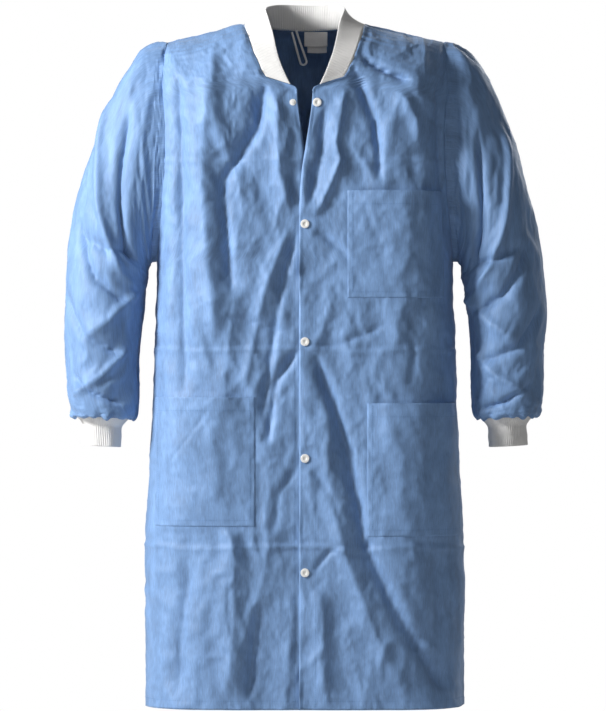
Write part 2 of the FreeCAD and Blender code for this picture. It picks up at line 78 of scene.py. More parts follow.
# ---------------------------------------------------------------- sizes, from the frame
HEM_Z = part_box("back_panel")[0].z
ARM_Y = JOINTS["left_arm_lifts"]["pos_m"][1]
ORIGIN = np.array([0.0, -ARM_Y * 1000, -HEM_Z * 1000])
TOP = (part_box("back_panel")[1].z - HEM_Z) * 1000 - 1.0        # shoulder height
YOKE = 97.0
YOKE_Z = TOP - YOKE
TOP_H = YOKE_Z + YOKE * math.pi / 2
HALF = 228.0                   # half the chest's width
HEM_FLARE, HEM_FLARE_TOP, HEM_FLARE_SPAN = 17, 650, 500
SHOULDER_TAPER = 9
DEPTH = 97                     # shoulder seam to the chest, and to the upper back
FRONT_FLARE, BACK_FLARE = 31, 24
FLAT = 125.0                   # half width of the flat middle of the front and back
FABRIC = 1.0
ARMHOLE, ARMHOLE_DEPTH = 366.0, 61.0
ARMPIT_Z = TOP - ARMHOLE
NECK_HALF = 93.0
ROUND, BACK_ROUND = 2.5, 3.0   # exponents of the side curve and of the upper back's roll
SLOPE, SLOPE_START = 28.0 / 120.0, 250
V_DEPTH = 205
FLAP_TOP = 948                 # where the front's free edge meets the collar
UNDER_SINK = 3.8
SINK_END, SINK_FADE = 45, 50
TOP_SNAP_OUT = 18.6


def smooth(t):
    """Eases from 0 to 1 as t goes from 0 to 1."""
    t = np.clip(t, 0.0, 1.0)
    return t * t * (3 - 2 * t)


def place(points):
    """Coat millimetres to frame metres."""
    return (np.asarray(points, float) - ORIGIN) / 1000


def section(h, back):
    """(height, half width, depth) of the coat at cloth height h, which goes on over the shoulder."""
    h = np.asarray(h, float)
    e = np.where(back, BACK_ROUND, 2.0)
    w = np.clip((h - YOKE_Z) / YOKE, 0, math.pi / 2)
    c, s = np.clip(np.cos(w), 1e-9, 1), np.sin(w)
    r = (c ** e + s ** e) ** (-1 / e)
    low = h <= YOKE_Z
    z = np.where(low, h, YOKE_Z + YOKE * r * s)
    depth = np.where(low, DEPTH + np.where(back, BACK_FLARE, FRONT_FLARE) * (1 - h / YOKE_Z), YOKE * r * c)
    taper = np.where(low, 0, SHOULDER_TAPER * smooth((h - YOKE_Z) / (TOP_H - YOKE_Z)))
    return z, HALF + HEM_FLARE * smooth((HEM_FLARE_TOP - h) / HEM_FLARE_SPAN) - taper, depth


def body(u, h):
    """The coat's smooth inner face; u is 0 at the centre front, 2 at the side, 4 at the back."""
    u, h = np.broadcast_arrays(np.asarray(u, float), np.asarray(h, float))
    sign, a = np.where(u < 0, -1, 1), np.abs(u)
    back = a > 2
    z, half, depth = section(h, back)
    angle = np.clip((a - 1) * math.pi / 2, 0, math.pi)
    curved = (a > 1) & (a < 3)
    k = 2 / ROUND
    x = np.where(curved, FLAT + (half - FLAT) * np.abs(np.sin(angle)) ** k, FLAT * np.minimum(a, 4 - a))
    y = np.where(curved, depth * np.abs(np.cos(angle)) ** k, depth)
    slope = SLOPE * smooth((z - TOP + SLOPE_START) / SLOPE_START)
    drop = slope * np.maximum(0, x - NECK_HALF)
    return np.stack([sign * x, np.where(back, y, -y), z - drop], -1)


def normal(u, h):
    """The body's outward normals."""
    h = np.minimum(h, TOP_H - 0.5)
    a = body(u + 0.004, h) - body(u - 0.004, h)
    b = body(u, h + 0.2) - body(u, h - 0.2)
    n = np.cross(a, b)
    return n / np.linalg.norm(n, axis=-1, keepdims=True)


def cloth_height(z, back):
    """The cloth height at which the body reaches height z."""
    hs = np.linspace(YOKE_Z, TOP_H, 400)
    return np.where(z <= YOKE_Z, z, np.interp(z, section(hs, back)[0], hs))


def u_armhole(h, back):
    """u of the armhole's edge, or of the side seam below the armpit."""
    z = section(np.minimum(h, TOP_H - 1), back)[0]
    depth = section(cloth_height(z, False), False)[2]
    share = (z - (TOP + ARMPIT_Z) / 2) / (ARMHOLE / 2)
    y = ARMHOLE_DEPTH * np.sqrt(np.clip(1 - share ** 2, 0, 1))
    turn = np.arccos(np.clip(y / depth, 0, 1) ** (ROUND / 2)) * 2 / math.pi
    u = np.where(back, 3 - turn, 1 + turn)
    return np.where(share <= -1, 2.0, u)


def fold_x(h):
    """The fold line's distance from the centre front."""
    return 26 + 59 * np.maximum(0, 1 - h / YOKE_Z)


def edge_x(h):
    """A front's free edge: past the centre below, and out to the collar up the V."""
    return -9 + 21 * smooth((h - YOKE_Z + V_DEPTH) / V_DEPTH) ** 1.3


def spline(ts, values, t):
    """A natural cubic spline through values at ts, read at t."""
    ts, values, t = np.asarray(ts, float), np.asarray(values, float), np.asarray(t, float)
    n, h = len(ts), np.diff(ts)
    m = np.zeros((n, n))
    m[0, 0] = m[-1, -1] = 1
    rhs = np.zeros(values.shape)
    shape = (-1,) + (1,) * (values.ndim - 1)
    d = np.diff(values, axis=0) / h.reshape(shape)
    for i in range(1, n - 1):
        m[i, i - 1], m[i, i], m[i, i + 1] = h[i - 1], 2 * (h[i - 1] + h[i]), h[i]
        rhs[i] = 6 * (d[i] - d[i - 1])
    k = np.linalg.solve(m, rhs.reshape(n, -1)).reshape(values.shape)
    i = np.clip(np.searchsorted(ts, t) - 1, 0, n - 2)
    a, b, hh = (ts[i + 1] - t).reshape(shape), (t - ts[i]).reshape(shape), h[i].reshape(shape)
    return (k[i] * a ** 3 + k[i + 1] * b ** 3) / (6 * hh) + (values[i] / hh - k[i] * hh / 6) * a \
        + (values[i + 1] / hh - k[i + 1] * hh / 6) * b


# ---------------------------------------------------------------- folds
def crease(x, z, points, amp, width, ends=50.0):
    """A fold along a line of (x, z) points: amp out of the cloth, fading at both ends.
    width is one number, or two for a fold that is steeper on one side."""
    wl, wr = width if isinstance(width, tuple) else (width, width)
    best, along, sign = np.full(x.shape, 1e9), np.zeros(x.shape), np.ones(x.shape)
    run = 0.0
    for (x0, z0), (x1, z1) in zip(points, points[1:]):
        dx, dz = x1 - x0, z1 - z0
        length = math.hypot(dx, dz)
        t = np.clip(((x - x0) * dx + (z - z0) * dz) / length ** 2, 0, 1)
        px, pz = x - (x0 + t * dx), z - (z0 + t * dz)
        d = np.hypot(px, pz)
        near = d < best
        best = np.where(near, d, best)
        along = np.where(near, run + t * length, along)
        sign = np.where(near, np.sign(px * dz - pz * dx), sign)
        run += length
    fade = smooth(along / ends) * smooth((run - along) / ends)
    w = np.where(sign > 0, wr, wl)
    return amp * fade * (0.55 * (1 + (best / w) ** 2) ** -1.5 + 0.45 * np.exp(-best / (0.7 * w)))


def noise(x, y, scale, seed):
    """Smooth seeded noise from -1 to 1 by value interpolation."""
    rng = np.random.default_rng(seed)
    table = rng.uniform(-1, 1, (64, 64))
    fx, fy = x / scale, y / scale
    ix, iy = np.floor(fx).astype(int), np.floor(fy).astype(int)
    tx, ty = smooth(fx - ix), smooth(fy - iy)

    def at(i, j):
        return table[i % 64, j % 64]

    a = at(ix, iy) * (1 - tx) + at(ix + 1, iy) * tx
    b = at(ix, iy + 1) * (1 - tx) + at(ix + 1, iy + 1) * tx
    return a * (1 - ty) + b * ty


def crumple(x, y, scale, seed):
    """Noise with sharp creases, as in a crumpled sheet."""
    x, y = (x + 0.4 * scale * noise(x, y, scale * 1.9, seed + 7),
            y + 0.4 * scale * noise(y, x, scale * 1.7, seed + 8))
    a = noise(0.87 * x + 0.5 * y, -0.5 * x + 0.87 * y, scale, seed)
    b = noise(0.26 * x + 0.97 * y, -0.97 * x + 0.26 * y, scale * 1.3, seed + 1)
    return 1 - 2.4 * np.abs(a + b) / 1.4


FRONT_FOLDS = (
    # (x, z) points; amp; width; length of the fade at each end. First the wearer's right front
    (((-60, 966), (-72, 888), (-125, 806), (-112, 625)), -9, (9, 16), 40),
    (((-150, 1000), (-157, 780), (-134, 540)), 8, 26, 60),
    (((-195, 985), (-190, 700), (-186, 470)), -8, 13, 60),
    (((-44, 950), (-40, 820), (-20, 750)), 5, 12, 40),
    (((-14, 730), (-40, 620), (-66, 440)), -5, (7, 12), 30),
    (((-22, 742), (-62, 640), (-96, 480)), 4, 12, 40),
    (((-8, 552), (-44, 500), (-58, 400)), -5, (6, 10), 20),
    (((-10, 566), (-70, 590), (-130, 600)), -2.5, 7, 25),
    (((-112, 300), (-108, 130), (-120, 0)), 7, 24, 60),
    (((-70, 175), (-78, 90), (-88, 5)), -6, 10, 40),
    (((-178, 240), (-190, 120), (-196, 5)), -5, 14, 50),
    (((-6, 378), (-40, 330), (-50, 260)), -2.5, 8, 20),
    # and the wearer's left front
    (((82, 1002), (130, 975), (168, 960)), -8, (4, 8), 22),
    (((140, 955), (168, 905), (176, 850)), 7, 12, 40),
    (((72, 985), (108, 900), (118, 800)), -8, (8, 12), 35),
    (((62, 955), (48, 865), (54, 838), (26, 772), (10, 750)), 6, (8, 13), 30),
    (((30, 930), (26, 850), (4, 760)), -5, 12, 30),
    (((206, 985), (208, 850), (214, 700)), -7, 12, 50),
    (((10, 738), (60, 700), (90, 640)), -3.5, 9, 25),
    (((10, 552), (44, 470), (66, 392), (96, 240), (150, 130), (225, 20)), -10, (12, 18), 40),
    (((40, 480), (34, 360), (60, 240), (110, 110), (160, 10)), 6, 20, 60),
    (((8, 556), (60, 560), (130, 590)), -3, 7, 25),
    (((6, 372), (40, 330), (56, 280)), -2.5, 8, 20),
    (((4, 200), (36, 240), (62, 250)), -3, 5, 15),
    (((150, 620), (170, 560), (160, 480)), -4, 12, 40),
    (((200, 250), (206, 120), (214, 10)), -5, 15, 50),
    (((20, 200), (30, 110), (26, 5)), 4, 16, 40),
)
PRESSED = ((548, 1.3), (246, 1.5), (838, 0.8))     # creases from the folded packet, by height


def front_relief(x, z):
    """Folds, packet creases and crumple of the fronts."""
    out = np.zeros(x.shape)
    for points, amp, width, ends in FRONT_FOLDS:
        out += crease(x, z, points, amp, width, ends)
    for height, amp in PRESSED:
        line = height + 5 * noise(x, x * 0, 90, 5)
        out += amp * np.exp(-np.abs(z - line) / 2.6) * (0.6 + 0.4 * noise(x, z, 60, 6))
    out += 1.6 * crumple(x, z * 0.42, 52, 11) + 0.9 * crumple(x + z * 0.2, z * 0.8, 27, 12)
    return out


def back_relief(x, z):
    """Long hanging folds, packet creases and crumple of the back."""
    rng = np.random.default_rng(21)
    out = 2.2 * crumple(x, z * 0.4, 60, 31) + 1.0 * crumple(x - z * 0.2, z * 0.8, 28, 32)
    for i in range(9):
        x0 = -180 + 45 * i + rng.uniform(-12, 12)
        tilt = rng.uniform(-30, 30)
        top = rng.uniform(700, 960)
        out += crease(x, z, ((x0, top), (x0 + tilt * 0.4, top * 0.5), (x0 + tilt, 5)),
                      rng.uniform(4, 8) * (-1) ** i, rng.uniform(12, 22), 80)
    for height, amp in PRESSED:
        out += amp * np.exp(-np.abs(z - height) / 2.6)
    for line in (((-80, 1010), (-120, 900), (-150, 760)), ((80, 1010), (125, 900), (150, 760))):
        out += crease(x, z, line, -5, 14, 60)
    return out


def hem_turn(h):
    """The turned hem: a little proud, with a groove along its stitches."""
    return 0.35 * (1 - smooth((h - 15) / 2)) - 0.4 * np.exp(-((h - 13) / 1.3) ** 2)


# ---------------------------------------------------------------- meshes
COLLECTION = bpy.context.scene.collection


def mesh_object(name, verts, faces, material, uvs=None):
    """A smooth-shaded object from metre vertices; uvs are per face corner."""
    mesh = bpy.data.meshes.new(name)
    mesh.from_pydata(np.asarray(verts).reshape(-1, 3).tolist(), [], faces)
    if uvs is not None:
        mesh.uv_layers.new(name="UVMap").data.foreach_set("uv", np.asarray(uvs).ravel())
    mesh.polygons.foreach_set("use_smooth", [True] * len(faces))
    obj = bpy.data.objects.new(name, mesh)
    COLLECTION.objects.link(obj)
    if material:
        mesh.materials.append(material)
    return obj


def grid_object(name, points, material=None, closed=False, uv=None, thick=0.45, hollow=False):
    """Quads through rows of points in coat mm. uv has one column more if the rows are closed.
    hollow joins the last row, which repeats the first, to it, and closes any open ends."""
    rows, cols = points.shape[:2]
    r, c = np.meshgrid(np.arange(rows - 1), np.arange(cols if closed else cols - 1), indexing="ij")
    d = (c + 1) % cols
    faces = np.stack([r * cols + c, r * cols + d, (r + 1) * cols + d, (r + 1) * cols + c], -1).reshape(-1, 4)
    uvs = None
    if uv is not None:
        uvs = np.stack([uv[r, c], uv[r, c + 1], uv[r + 1, c + 1], uv[r + 1, c]], -2)
    faces = faces.tolist()
    if hollow:
        faces = [[i % ((rows - 1) * cols) for i in f] for f in faces]
        points = points[:-1]
    if hollow and not closed:
        loop = [i * cols for i in range(rows - 1)]
        faces += [loop[::-1], [i + cols - 1 for i in loop]]
        uvs = np.concatenate([uvs.reshape(-1, 2), np.zeros((2 * (rows - 1), 2))])
    obj = mesh_object(name, place(points), faces, material, uvs)
    if thick:
        wall = obj.modifiers.new("Thickness", "SOLIDIFY")
        wall.thickness = thick / 1000
        wall.offset = -1
    return obj


def finer(grid, closed=False):
    """The grid with a new row and column between each two, on a smooth curve through the old ones."""
    def double(g, wrap):
        if wrap:
            p = np.concatenate([g[-1:], g, g[:2]])
        else:
            p = np.concatenate([2 * g[:1] - g[1:2], g, 2 * g[-1:] - g[-2:-1]])
        mid = (-p[:-3] + 9 * p[1:-2] + 9 * p[2:-1] - p[3:]) / 16
        out = np.empty((len(g) + len(mid),) + g.shape[1:])
        out[0::2], out[1::2] = g, mid
        return out

    return np.moveaxis(double(np.moveaxis(double(grid, False), 1, 0), closed), 0, 1)


def lengths_uv(points, closed=False):
    """uv in metres from the lengths along rows and columns."""
    if closed:
        points = np.concatenate([points, points[:, :1]], 1)
    across = np.linalg.norm(np.diff(points, axis=1), axis=-1)
    up = np.linalg.norm(np.diff(points, axis=0), axis=-1)
    u = np.concatenate([np.zeros((points.shape[0], 1)), np.cumsum(across, 1)], 1)
    v = np.concatenate([np.zeros((1, points.shape[1])), np.cumsum(up, 0)], 0)
    u = u - u.mean(1, keepdims=True)
    return np.stack([u, v], -1) / 1000


def settle(cloths, frames=22):
    """Runs cloth on rows of points: (points, pin weights, growth (x, y, z), closed, bending).
    The cloth's own size is a little larger than the shape that it starts in, so it buckles."""
    made = []
    for i, (points, pins, grow, closed, bend) in enumerate(cloths):
        obj = grid_object(f"settle_{i}", points, None, closed, thick=0)
        group = obj.vertex_groups.new(name="pin")
        w = pins.ravel()
        for value in np.unique(np.round(w, 2)):
            if value > 0:
                group.add(np.nonzero(np.round(w, 2) == value)[0].tolist(), float(value), "REPLACE")
        obj.shape_key_add(name="Basis")
        rest = obj.shape_key_add(name="own_size")
        co = np.array([v.co for v in obj.data.vertices])
        mid = co.mean(0)
        rest.data.foreach_set("co", (mid + (co - mid) * (1 + np.array(grow))).ravel())
        cloth = obj.modifiers.new("Cloth", "CLOTH")
        s = cloth.settings
        s.quality = 6
        s.mass = 0.05
        s.air_damping = 2.0
        s.tension_stiffness = s.compression_stiffness = 25
        s.shear_stiffness = 12
        s.tension_damping = s.compression_damping = s.shear_damping = 8
        s.bending_stiffness = bend
        s.bending_damping = 1.0
        s.vertex_group_mass = "pin"
        s.pin_stiffness = 1.0
        s.rest_shape_key = rest
        s.effector_weights.gravity = 0.03
        cloth.collision_settings.use_collision = False
        cloth.point_cache.frame_start, cloth.point_cache.frame_end = 1, frames
        made.append(obj)
    scene = bpy.context.scene
    scene.frame_start, scene.frame_end = 1, frames
    for f in range(1, frames + 1):
        scene.frame_set(f)
    depsgraph = bpy.context.evaluated_depsgraph_get()
    out = []
    for obj, (points, *_rest) in zip(made, cloths):
        mesh = obj.evaluated_get(depsgraph).to_mesh()
        co = np.empty(len(mesh.vertices) * 3)
        mesh.vertices.foreach_get("co", co)
        out.append(co.reshape(points.shape) * 1000 + ORIGIN)
        obj.evaluated_get(depsgraph).to_mesh_clear()
        data = obj.data
        bpy.data.objects.remove(obj)
        bpy.data.meshes.remove(data)
    scene.frame_set(1)
    return out


# ---------------------------------------------------------------- materials
def new_material(name, color, rough):
    """(material, node tree, its Principled BSDF)"""
    m = bpy.data.materials.new(name)
    m.use_nodes = True
    bsdf = m.node_tree.nodes["Principled BSDF"]
    bsdf.inputs["Base Color"].default_value = (*color, 1)
    bsdf.inputs["Roughness"].default_value = rough
    return m, m.node_tree, bsdf


def node(tree, kind, **values):
    """A new node. A value is an attribute, an input's number, or an output linked to that input."""
    n = tree.nodes.new(kind)
    for key, value in values.items():
        if key not in n.inputs:
            setattr(n, key, value)
        elif isinstance(value, bpy.types.NodeSocket):
            tree.links.new(value, n.inputs[key])
        else:
            n.inputs[key].default_value = value
    return n


def mapped(tree, vector, scale, turn=0.0):
    """The vector scaled, and turned about z."""
    return node(tree, "ShaderNodeMapping", Vector=vector, Scale=scale, Rotation=(0, 0, turn)).outputs[0]


def mixed(tree, share, first, second):
    """A value between two outputs."""
    n = node(tree, "ShaderNodeMix", data_type="FLOAT")
    n.inputs[0].default_value = share
    tree.links.new(first, n.inputs[2])
    tree.links.new(second, n.inputs[3])
    return n.outputs[0]


def ramp(tree, value, stops):
    """A colour from a value, through (place, colour) stops."""
    n = node(tree, "ShaderNodeValToRGB", Fac=value)
    e = n.color_ramp.elements
    while len(e) < len(stops):
        e.new(0.5)
    for s, (at, color) in zip(e, stops):
        s.position, s.color = at, (*color, 1)
    return n.outputs[0]


def nonwoven(name, tint=1.0):
    """Spunbond nonwoven: clouded fibre, a fine lengthwise grain and pressed bond points."""
    base = np.array((0.165, 0.290, 0.520)) * tint
    m, tree, bsdf = new_material(name, base, 0.6)
    uv = node(tree, "ShaderNodeUVMap").outputs["UV"]
    cloud = node(tree, "ShaderNodeTexNoise", Vector=mapped(tree, uv, (38, 11, 30)),
                 Scale=1.0, Detail=5.0, Roughness=0.62).outputs["Fac"]
    grain = node(tree, "ShaderNodeTexNoise", Vector=mapped(tree, uv, (520, 60, 1)),
                 Scale=1.0, Detail=4.0, Roughness=0.7).outputs["Fac"]
    bond = node(tree, "ShaderNodeTexVoronoi", Vector=mapped(tree, uv, (640, 640, 1), math.radians(45)),
                Scale=1.0, Randomness=0.15).outputs["Distance"]
    colors = ramp(tree, mixed(tree, 0.45, cloud, grain),
                  ((0.36, base * 0.74), (0.5, base), (0.64, base * 1.25 + 0.012)))
    dots = ramp(tree, bond, ((0.2, (0, 0, 0)), (0.42, (1, 1, 1))))
    pressed = node(tree, "ShaderNodeBump", Height=dots, Strength=0.35, Distance=0.00025).outputs[0]
    fibres = node(tree, "ShaderNodeBump", Height=grain, Normal=pressed, Strength=0.30, Distance=0.0006)
    tree.links.new(colors, bsdf.inputs["Base Color"])
    tree.links.new(fibres.outputs[0], bsdf.inputs["Normal"])
    tree.links.new(ramp(tree, grain, ((0.3, (0.50,) * 3), (0.7, (0.66,) * 3))), bsdf.inputs["Roughness"])
    bsdf.inputs["Sheen Weight"].default_value = 0.25
    bsdf.inputs["Sheen Roughness"].default_value = 0.45
    bsdf.inputs["Sheen Tint"].default_value = (0.75, 0.85, 1, 1)
    bsdf.inputs["Specular IOR Level"].default_value = 0.42
    return m


def knit(name):
    """White cotton rib: fine courses across the ribs, with painted shade greying the colour in the valleys
    between the loops.
    """
    base = np.array((0.79, 0.78, 0.765))
    m, tree, bsdf = new_material(name, base, 0.85)
    uv = node(tree, "ShaderNodeUVMap").outputs["UV"]
    courses = node(tree, "ShaderNodeTexWave", bands_direction="Y", Vector=uv,
                   Scale=190.0, Distortion=1.5, Detail=2.0).outputs["Fac"]
    wales = node(tree, "ShaderNodeTexWave", bands_direction="X", Vector=uv,
                 Scale=120.0, Distortion=0.6, Detail=1.0).outputs["Fac"]
    cloud = node(tree, "ShaderNodeTexNoise", Vector=uv, Scale=45.0, Detail=4.0).outputs["Fac"]
    loops = mixed(tree, 0.5, courses, wales)
    # painted shade: the colour darkens where the loop height is low, in the rib valleys, mixed with a random
    # cloud of tone
    colors = ramp(tree, mixed(tree, 0.6, loops, cloud), ((0.15, base * 0.88), (0.6, base), (0.9, base * 1.06)))
    bump = node(tree, "ShaderNodeBump", Height=loops, Strength=0.5, Distance=0.0005)
    tree.links.new(colors, bsdf.inputs["Base Color"])
    tree.links.new(bump.outputs[0], bsdf.inputs["Normal"])
    bsdf.inputs["Sheen Weight"].default_value = 0.35
    bsdf.inputs["Sheen Roughness"].default_value = 0.6
    return m


def plain(name, color, rough, noise_scale=400.0, strength=0.15, vary=0.06, sheen=0.0):
    """One colour with a fine mottle and grain."""
    m, tree, bsdf = new_material(name, color, rough)
    base = np.array(color)
    where = node(tree, "ShaderNodeTexCoord").outputs["Object"]
    mottle = node(tree, "ShaderNodeTexNoise", Vector=where, Scale=noise_scale, Detail=4.0).outputs["Fac"]
    colors = ramp(tree, mottle, ((0.3, base * (1 - vary)), (0.7, np.minimum(1, base * (1 + vary)))))
    bump = node(tree, "ShaderNodeBump", Height=mottle, Strength=strength, Distance=0.0002)
    tree.links.new(colors, bsdf.inputs["Base Color"])
    tree.links.new(bump.outputs[0], bsdf.inputs["Normal"])
    bsdf.inputs["Sheen Weight"].default_value = sheen
    return m


CLOTH = nonwoven("nonwoven_blue")
POCKET_CLOTH = nonwoven("nonwoven_blue_pocket", 1.03)
KNIT = knit("rib_knit_white")
THREAD = plain("thread_blue", (0.12, 0.25, 0.48), 0.7, 900, 0.3)
LABEL = plain("label_white", (0.80, 0.79, 0.78), 0.75, 700, 0.3, 0.05, 0.2)
TAPE = plain("tape_white", (0.86, 0.86, 0.85), 0.6, 900, 0.4, 0.04, 0.3)
SNAP = plain("snap_plastic_white", (0.82, 0.81, 0.78), 0.32, 250, 0.12, 0.04)


# ---------------------------------------------------------------- panels, before settling
def rows_of(breaks):
    """Heights from (end height, spacing) pairs."""
    out, at = [0.0], 0.0
    for end, step in breaks:
        n = max(1, int(round((end - at) / step)))
        out += [at + (end - at) * (i + 1) / n for i in range(n)]
        at = end
    return np.array(out)


def neck_in(h):
    """The inner edge of a front panel above the V, along the neck seam."""
    return np.interp(h, [950, 954, 966, 976.2, 1010.9, 1053.2, 1100.6, 1107.4],
                     [12, 22, 60, 66, 80, 89.7, 93, 93])


FRONT_H = rows_of(((940, 6.7), (980, 3.6), (TOP_H, 5.5)))


def front_grid(side, cols=52):
    """(u, h) of a front's rows, from its free edge to the side seam."""
    h = FRONT_H[:, None]
    inner = np.where(h < 950, edge_x(h), neck_in(h)) / FLAT
    outer = u_armhole(h, False)
    t = np.linspace(0, 1, cols)[None, :]
    t = t + 0.06 * np.sin(2 * math.pi * t) / (2 * math.pi)
    u = side * (inner + (outer - inner) * t)
    return u, np.broadcast_to(h, u.shape).copy()


def back_grid(cols=104):
    """(u, h) of the back's rows, from side seam to side seam."""
    v = np.linspace(0, 1, 150)[:, None]
    s = np.linspace(0, 1, cols)[None, :]
    h0 = np.where(v < 0.82, v / 0.82 * 900, 900 + (v - 0.82) / 0.18 * (TOP_H - 900))
    edge = u_armhole(h0, True)
    u = edge + (8 - 2 * edge) * s
    x = np.where(np.abs(4 - u) < 1, FLAT * np.abs(4 - u), 130)
    top = np.interp(x, [0, 50, 82, 93, 94], [1054.9, 1063.3, 1083.7, TOP_H - 4, TOP_H])
    h = np.where(v < 0.82, h0, 900 + (v - 0.82) / 0.18 * (top - 900))
    return np.where(u > 4, u - 8, u), h


def near_any(x, z, places, inner, outer):
    """1 within inner of any place, falling to 0 at outer."""
    out = np.zeros(x.shape)
    for px, pz in places:
        d = np.hypot(x - px, z - pz)
        out = np.maximum(out, 1 - smooth((d - inner) / (outer - inner)))
    return out


SNAP_H = [YOKE_Z - d for d in (28, 214, 394, 572, 746)]


def snaps(side):
    """(x, z) of a front's snaps; the top one is open, away from the centre."""
    return [(side * TOP_SNAP_OUT if i == 0 else 0.0, h) for i, h in enumerate(SNAP_H)]


POCKETS = {    # side, mouth's height, pocket's height, and its two sides' distances from the centre
    "chest_pocket": (LEFT, TOP - 260, 164, 65, 212),
    "lower_pocket_left": (LEFT, TOP - 585, 203, 95, 238),
    "lower_pocket_right": (RIGHT, TOP - 576, 197, 76, 228),
}


def pocket_mask(side, x, z, margin=10.0):
    """1 behind a pocket, 0 away from it."""
    out = np.zeros(x.shape)
    for s, top, height, inner, outer in POCKETS.values():
        if s == side:
            ax = side * x
            m = smooth((ax - inner + margin) / margin) * smooth((outer + margin - ax) / margin)
            m = m * smooth((z - top + height + margin) / margin) * smooth((top + margin - z) / margin)
            out = np.maximum(out, m)
    return out


def neck_gathers(u, h, inner_x):
    """Small puckers running out from the collar's seam."""
    away = np.abs(body(u, h)[..., 0]) - inner_x
    ripple = np.cos(h / 2.1 + 0.8 * np.sin(h / 9)) * (0.6 + 0.4 * np.sin(h / 5.3))
    return 2.6 * ripple * smooth((h - 962) / 14) * np.exp(-away / 34) * smooth(away / 5)


def front_start(side):
    """(u, h, smooth base, folded points, pin weights) of a front before it settles."""
    u, h = front_grid(side)
    base = body(u, h)
    x, z = base[..., 0], base[..., 2]
    cols = u.shape[1]
    t = np.linspace(0, 1, cols)[None, :]
    relief = 1.5 * front_relief(x, z)
    hold = smooth(t / 0.02) * smooth((1 - t) / 0.05) * smooth((TOP_H - h) / 10)
    inner_hold = np.where(h > 945, smooth(t / 0.05), 1.0)
    still = 1 - near_any(x, z, snaps(side) + snaps(-side), 8, 24)
    relief = relief * hold * inner_hold * still * (1 - 0.6 * pocket_mask(side, x, z))
    inner = np.where(h < 950, 12.0, neck_in(h))
    relief += neck_gathers(u, h, inner) * smooth((TOP_H - h) / 6)
    points = base + normal(u, h) * relief[..., None]
    pins = np.zeros(u.shape)
    pins[:, -1] = 1
    pins[-1, :] = 1
    pins[h[:, 0] > FLAP_TOP, 0] = 1
    pins = np.maximum(pins, near_any(x, z, snaps(side), 7, 12))
    pins = np.maximum(pins, 0.25 * (h < 3))
    pins = np.maximum(pins, 0.06 * (t < 0.001) * (h < FLAP_TOP))
    return u, h, base, points, np.maximum(pins, 0.004)


def back_start():
    """The same for the back."""
    u, h = back_grid()
    base = body(u, h)
    x, z = base[..., 0], base[..., 2]
    s = np.linspace(0, 1, u.shape[1])[None, :]
    v = np.linspace(0, 1, u.shape[0])[:, None]
    hold = smooth(s / 0.04) * smooth((1 - s) / 0.04) * smooth((1 - v) / 0.03)
    points = base + normal(u, h) * (1.4 * back_relief(x, z) * hold)[..., None]
    pins = np.zeros(u.shape)
    pins[:, 0] = pins[:, -1] = pins[-1, :] = 1
    pins = np.maximum(pins, 0.25 * (h < 3))
    return u, h, base, points, np.maximum(pins, 0.004)


# ---------------------------------------------------------------- sleeves
SLEEVE_CLEAR = 2.6
UNDERARM_BOW = 9               # how far the sleeve's inner side bows out
RING_PITCH = 62                # mm between rings, roughly
# each ring's fan angle, how far its width has opened, and its shares of the way down and out
RINGS = ((84, .8, .013, .03), (68, .437, .06, .12), (50, .216, .154, .21), (25, .075, .282, .33),
         (7, 0, .517, .58), (0, -.4, .795, .76), (0, -1, 1, 1))
ELBOW_W, WRIST_W, UNDERARM, OUT, FORWARD = 124.0, 101.0, 232.0, 33.0, 24.0
CUFF_R, CUFF_FLARE, CUFF_LEN, CUFF_STRAIGHT = 29.5, 41.0, 46.0, 28.0
CUFF_WALL, TILT = 2.0, math.radians(3.0)
ARMPIT = body(2.0, ARMPIT_Z)
CUFF_TOP = np.array([ARMPIT[0] + OUT + WRIST_W / 2, -FORWARD, ARMPIT_Z - UNDERARM - 7])


def armhole_ring(angles):
    """Points round the left armhole; 0 degrees is its top and 180 the armpit."""
    turn = np.radians(angles)
    z = (TOP + ARMPIT_Z) / 2 + ARMHOLE / 2 * np.cos(turn)
    out = np.zeros((len(angles), 3))
    for back in (False, True):
        pick = (angles % 360 > 180) == back
        h = cloth_height(z[pick], back)
        out[pick] = body(u_armhole(h, back), h)
    return out


def cuff_ring(turn, r, z):
    """Points round the left wrist at height z from the cuff's top, on its tilted axis."""
    x = r * np.cos(turn)
    return CUFF_TOP + np.stack([x * math.cos(TILT) - z * math.sin(TILT), -r * np.sin(turn),
                                x * math.sin(TILT) + z * math.cos(TILT)], -1)


def sleeve_grid(cols=88, rows=100):
    """(angles, ring numbers, points) of the smooth left sleeve."""
    angles = np.linspace(-180, 180, cols, endpoint=False)
    turn = np.radians(angles)
    rings = [armhole_ring(angles % 360) + np.array([0.2, 0, 0])]
    for fan, extra, down, out in RINGS:
        full = ARMHOLE if extra >= 0 else WRIST_W
        width = ELBOW_W + abs(extra) * (full - ELBOW_W)
        f = math.radians(fan)
        reach = np.array([math.cos(f), 0, math.sin(f)]) * width
        inner = ARMPIT + np.array([OUT * out + SLEEVE_CLEAR * (1 - out), -FORWARD * down, -UNDERARM * down])
        depth = min(width / 2, 66.0)
        rings.append(inner + reach * ((1 + np.cos(turn)) / 2)[:, None]
                     + np.array([0, -depth, 0]) * np.sin(turn)[:, None])
    rings.append(cuff_ring(turn, CUFF_FLARE + 1.6 + 0 * turn, -2.5 + 0 * turn))
    k = np.concatenate([np.linspace(0, 0.35, 14, endpoint=False), np.linspace(0.35, 8, rows - 14)])
    base = spline(range(9), np.array(rings), k)
    base[..., 0] += UNDERARM_BOW * (smooth(k / 0.3) * smooth((7 - k) / 2))[:, None] * (1 - np.cos(turn)) / 2
    return angles, k, base


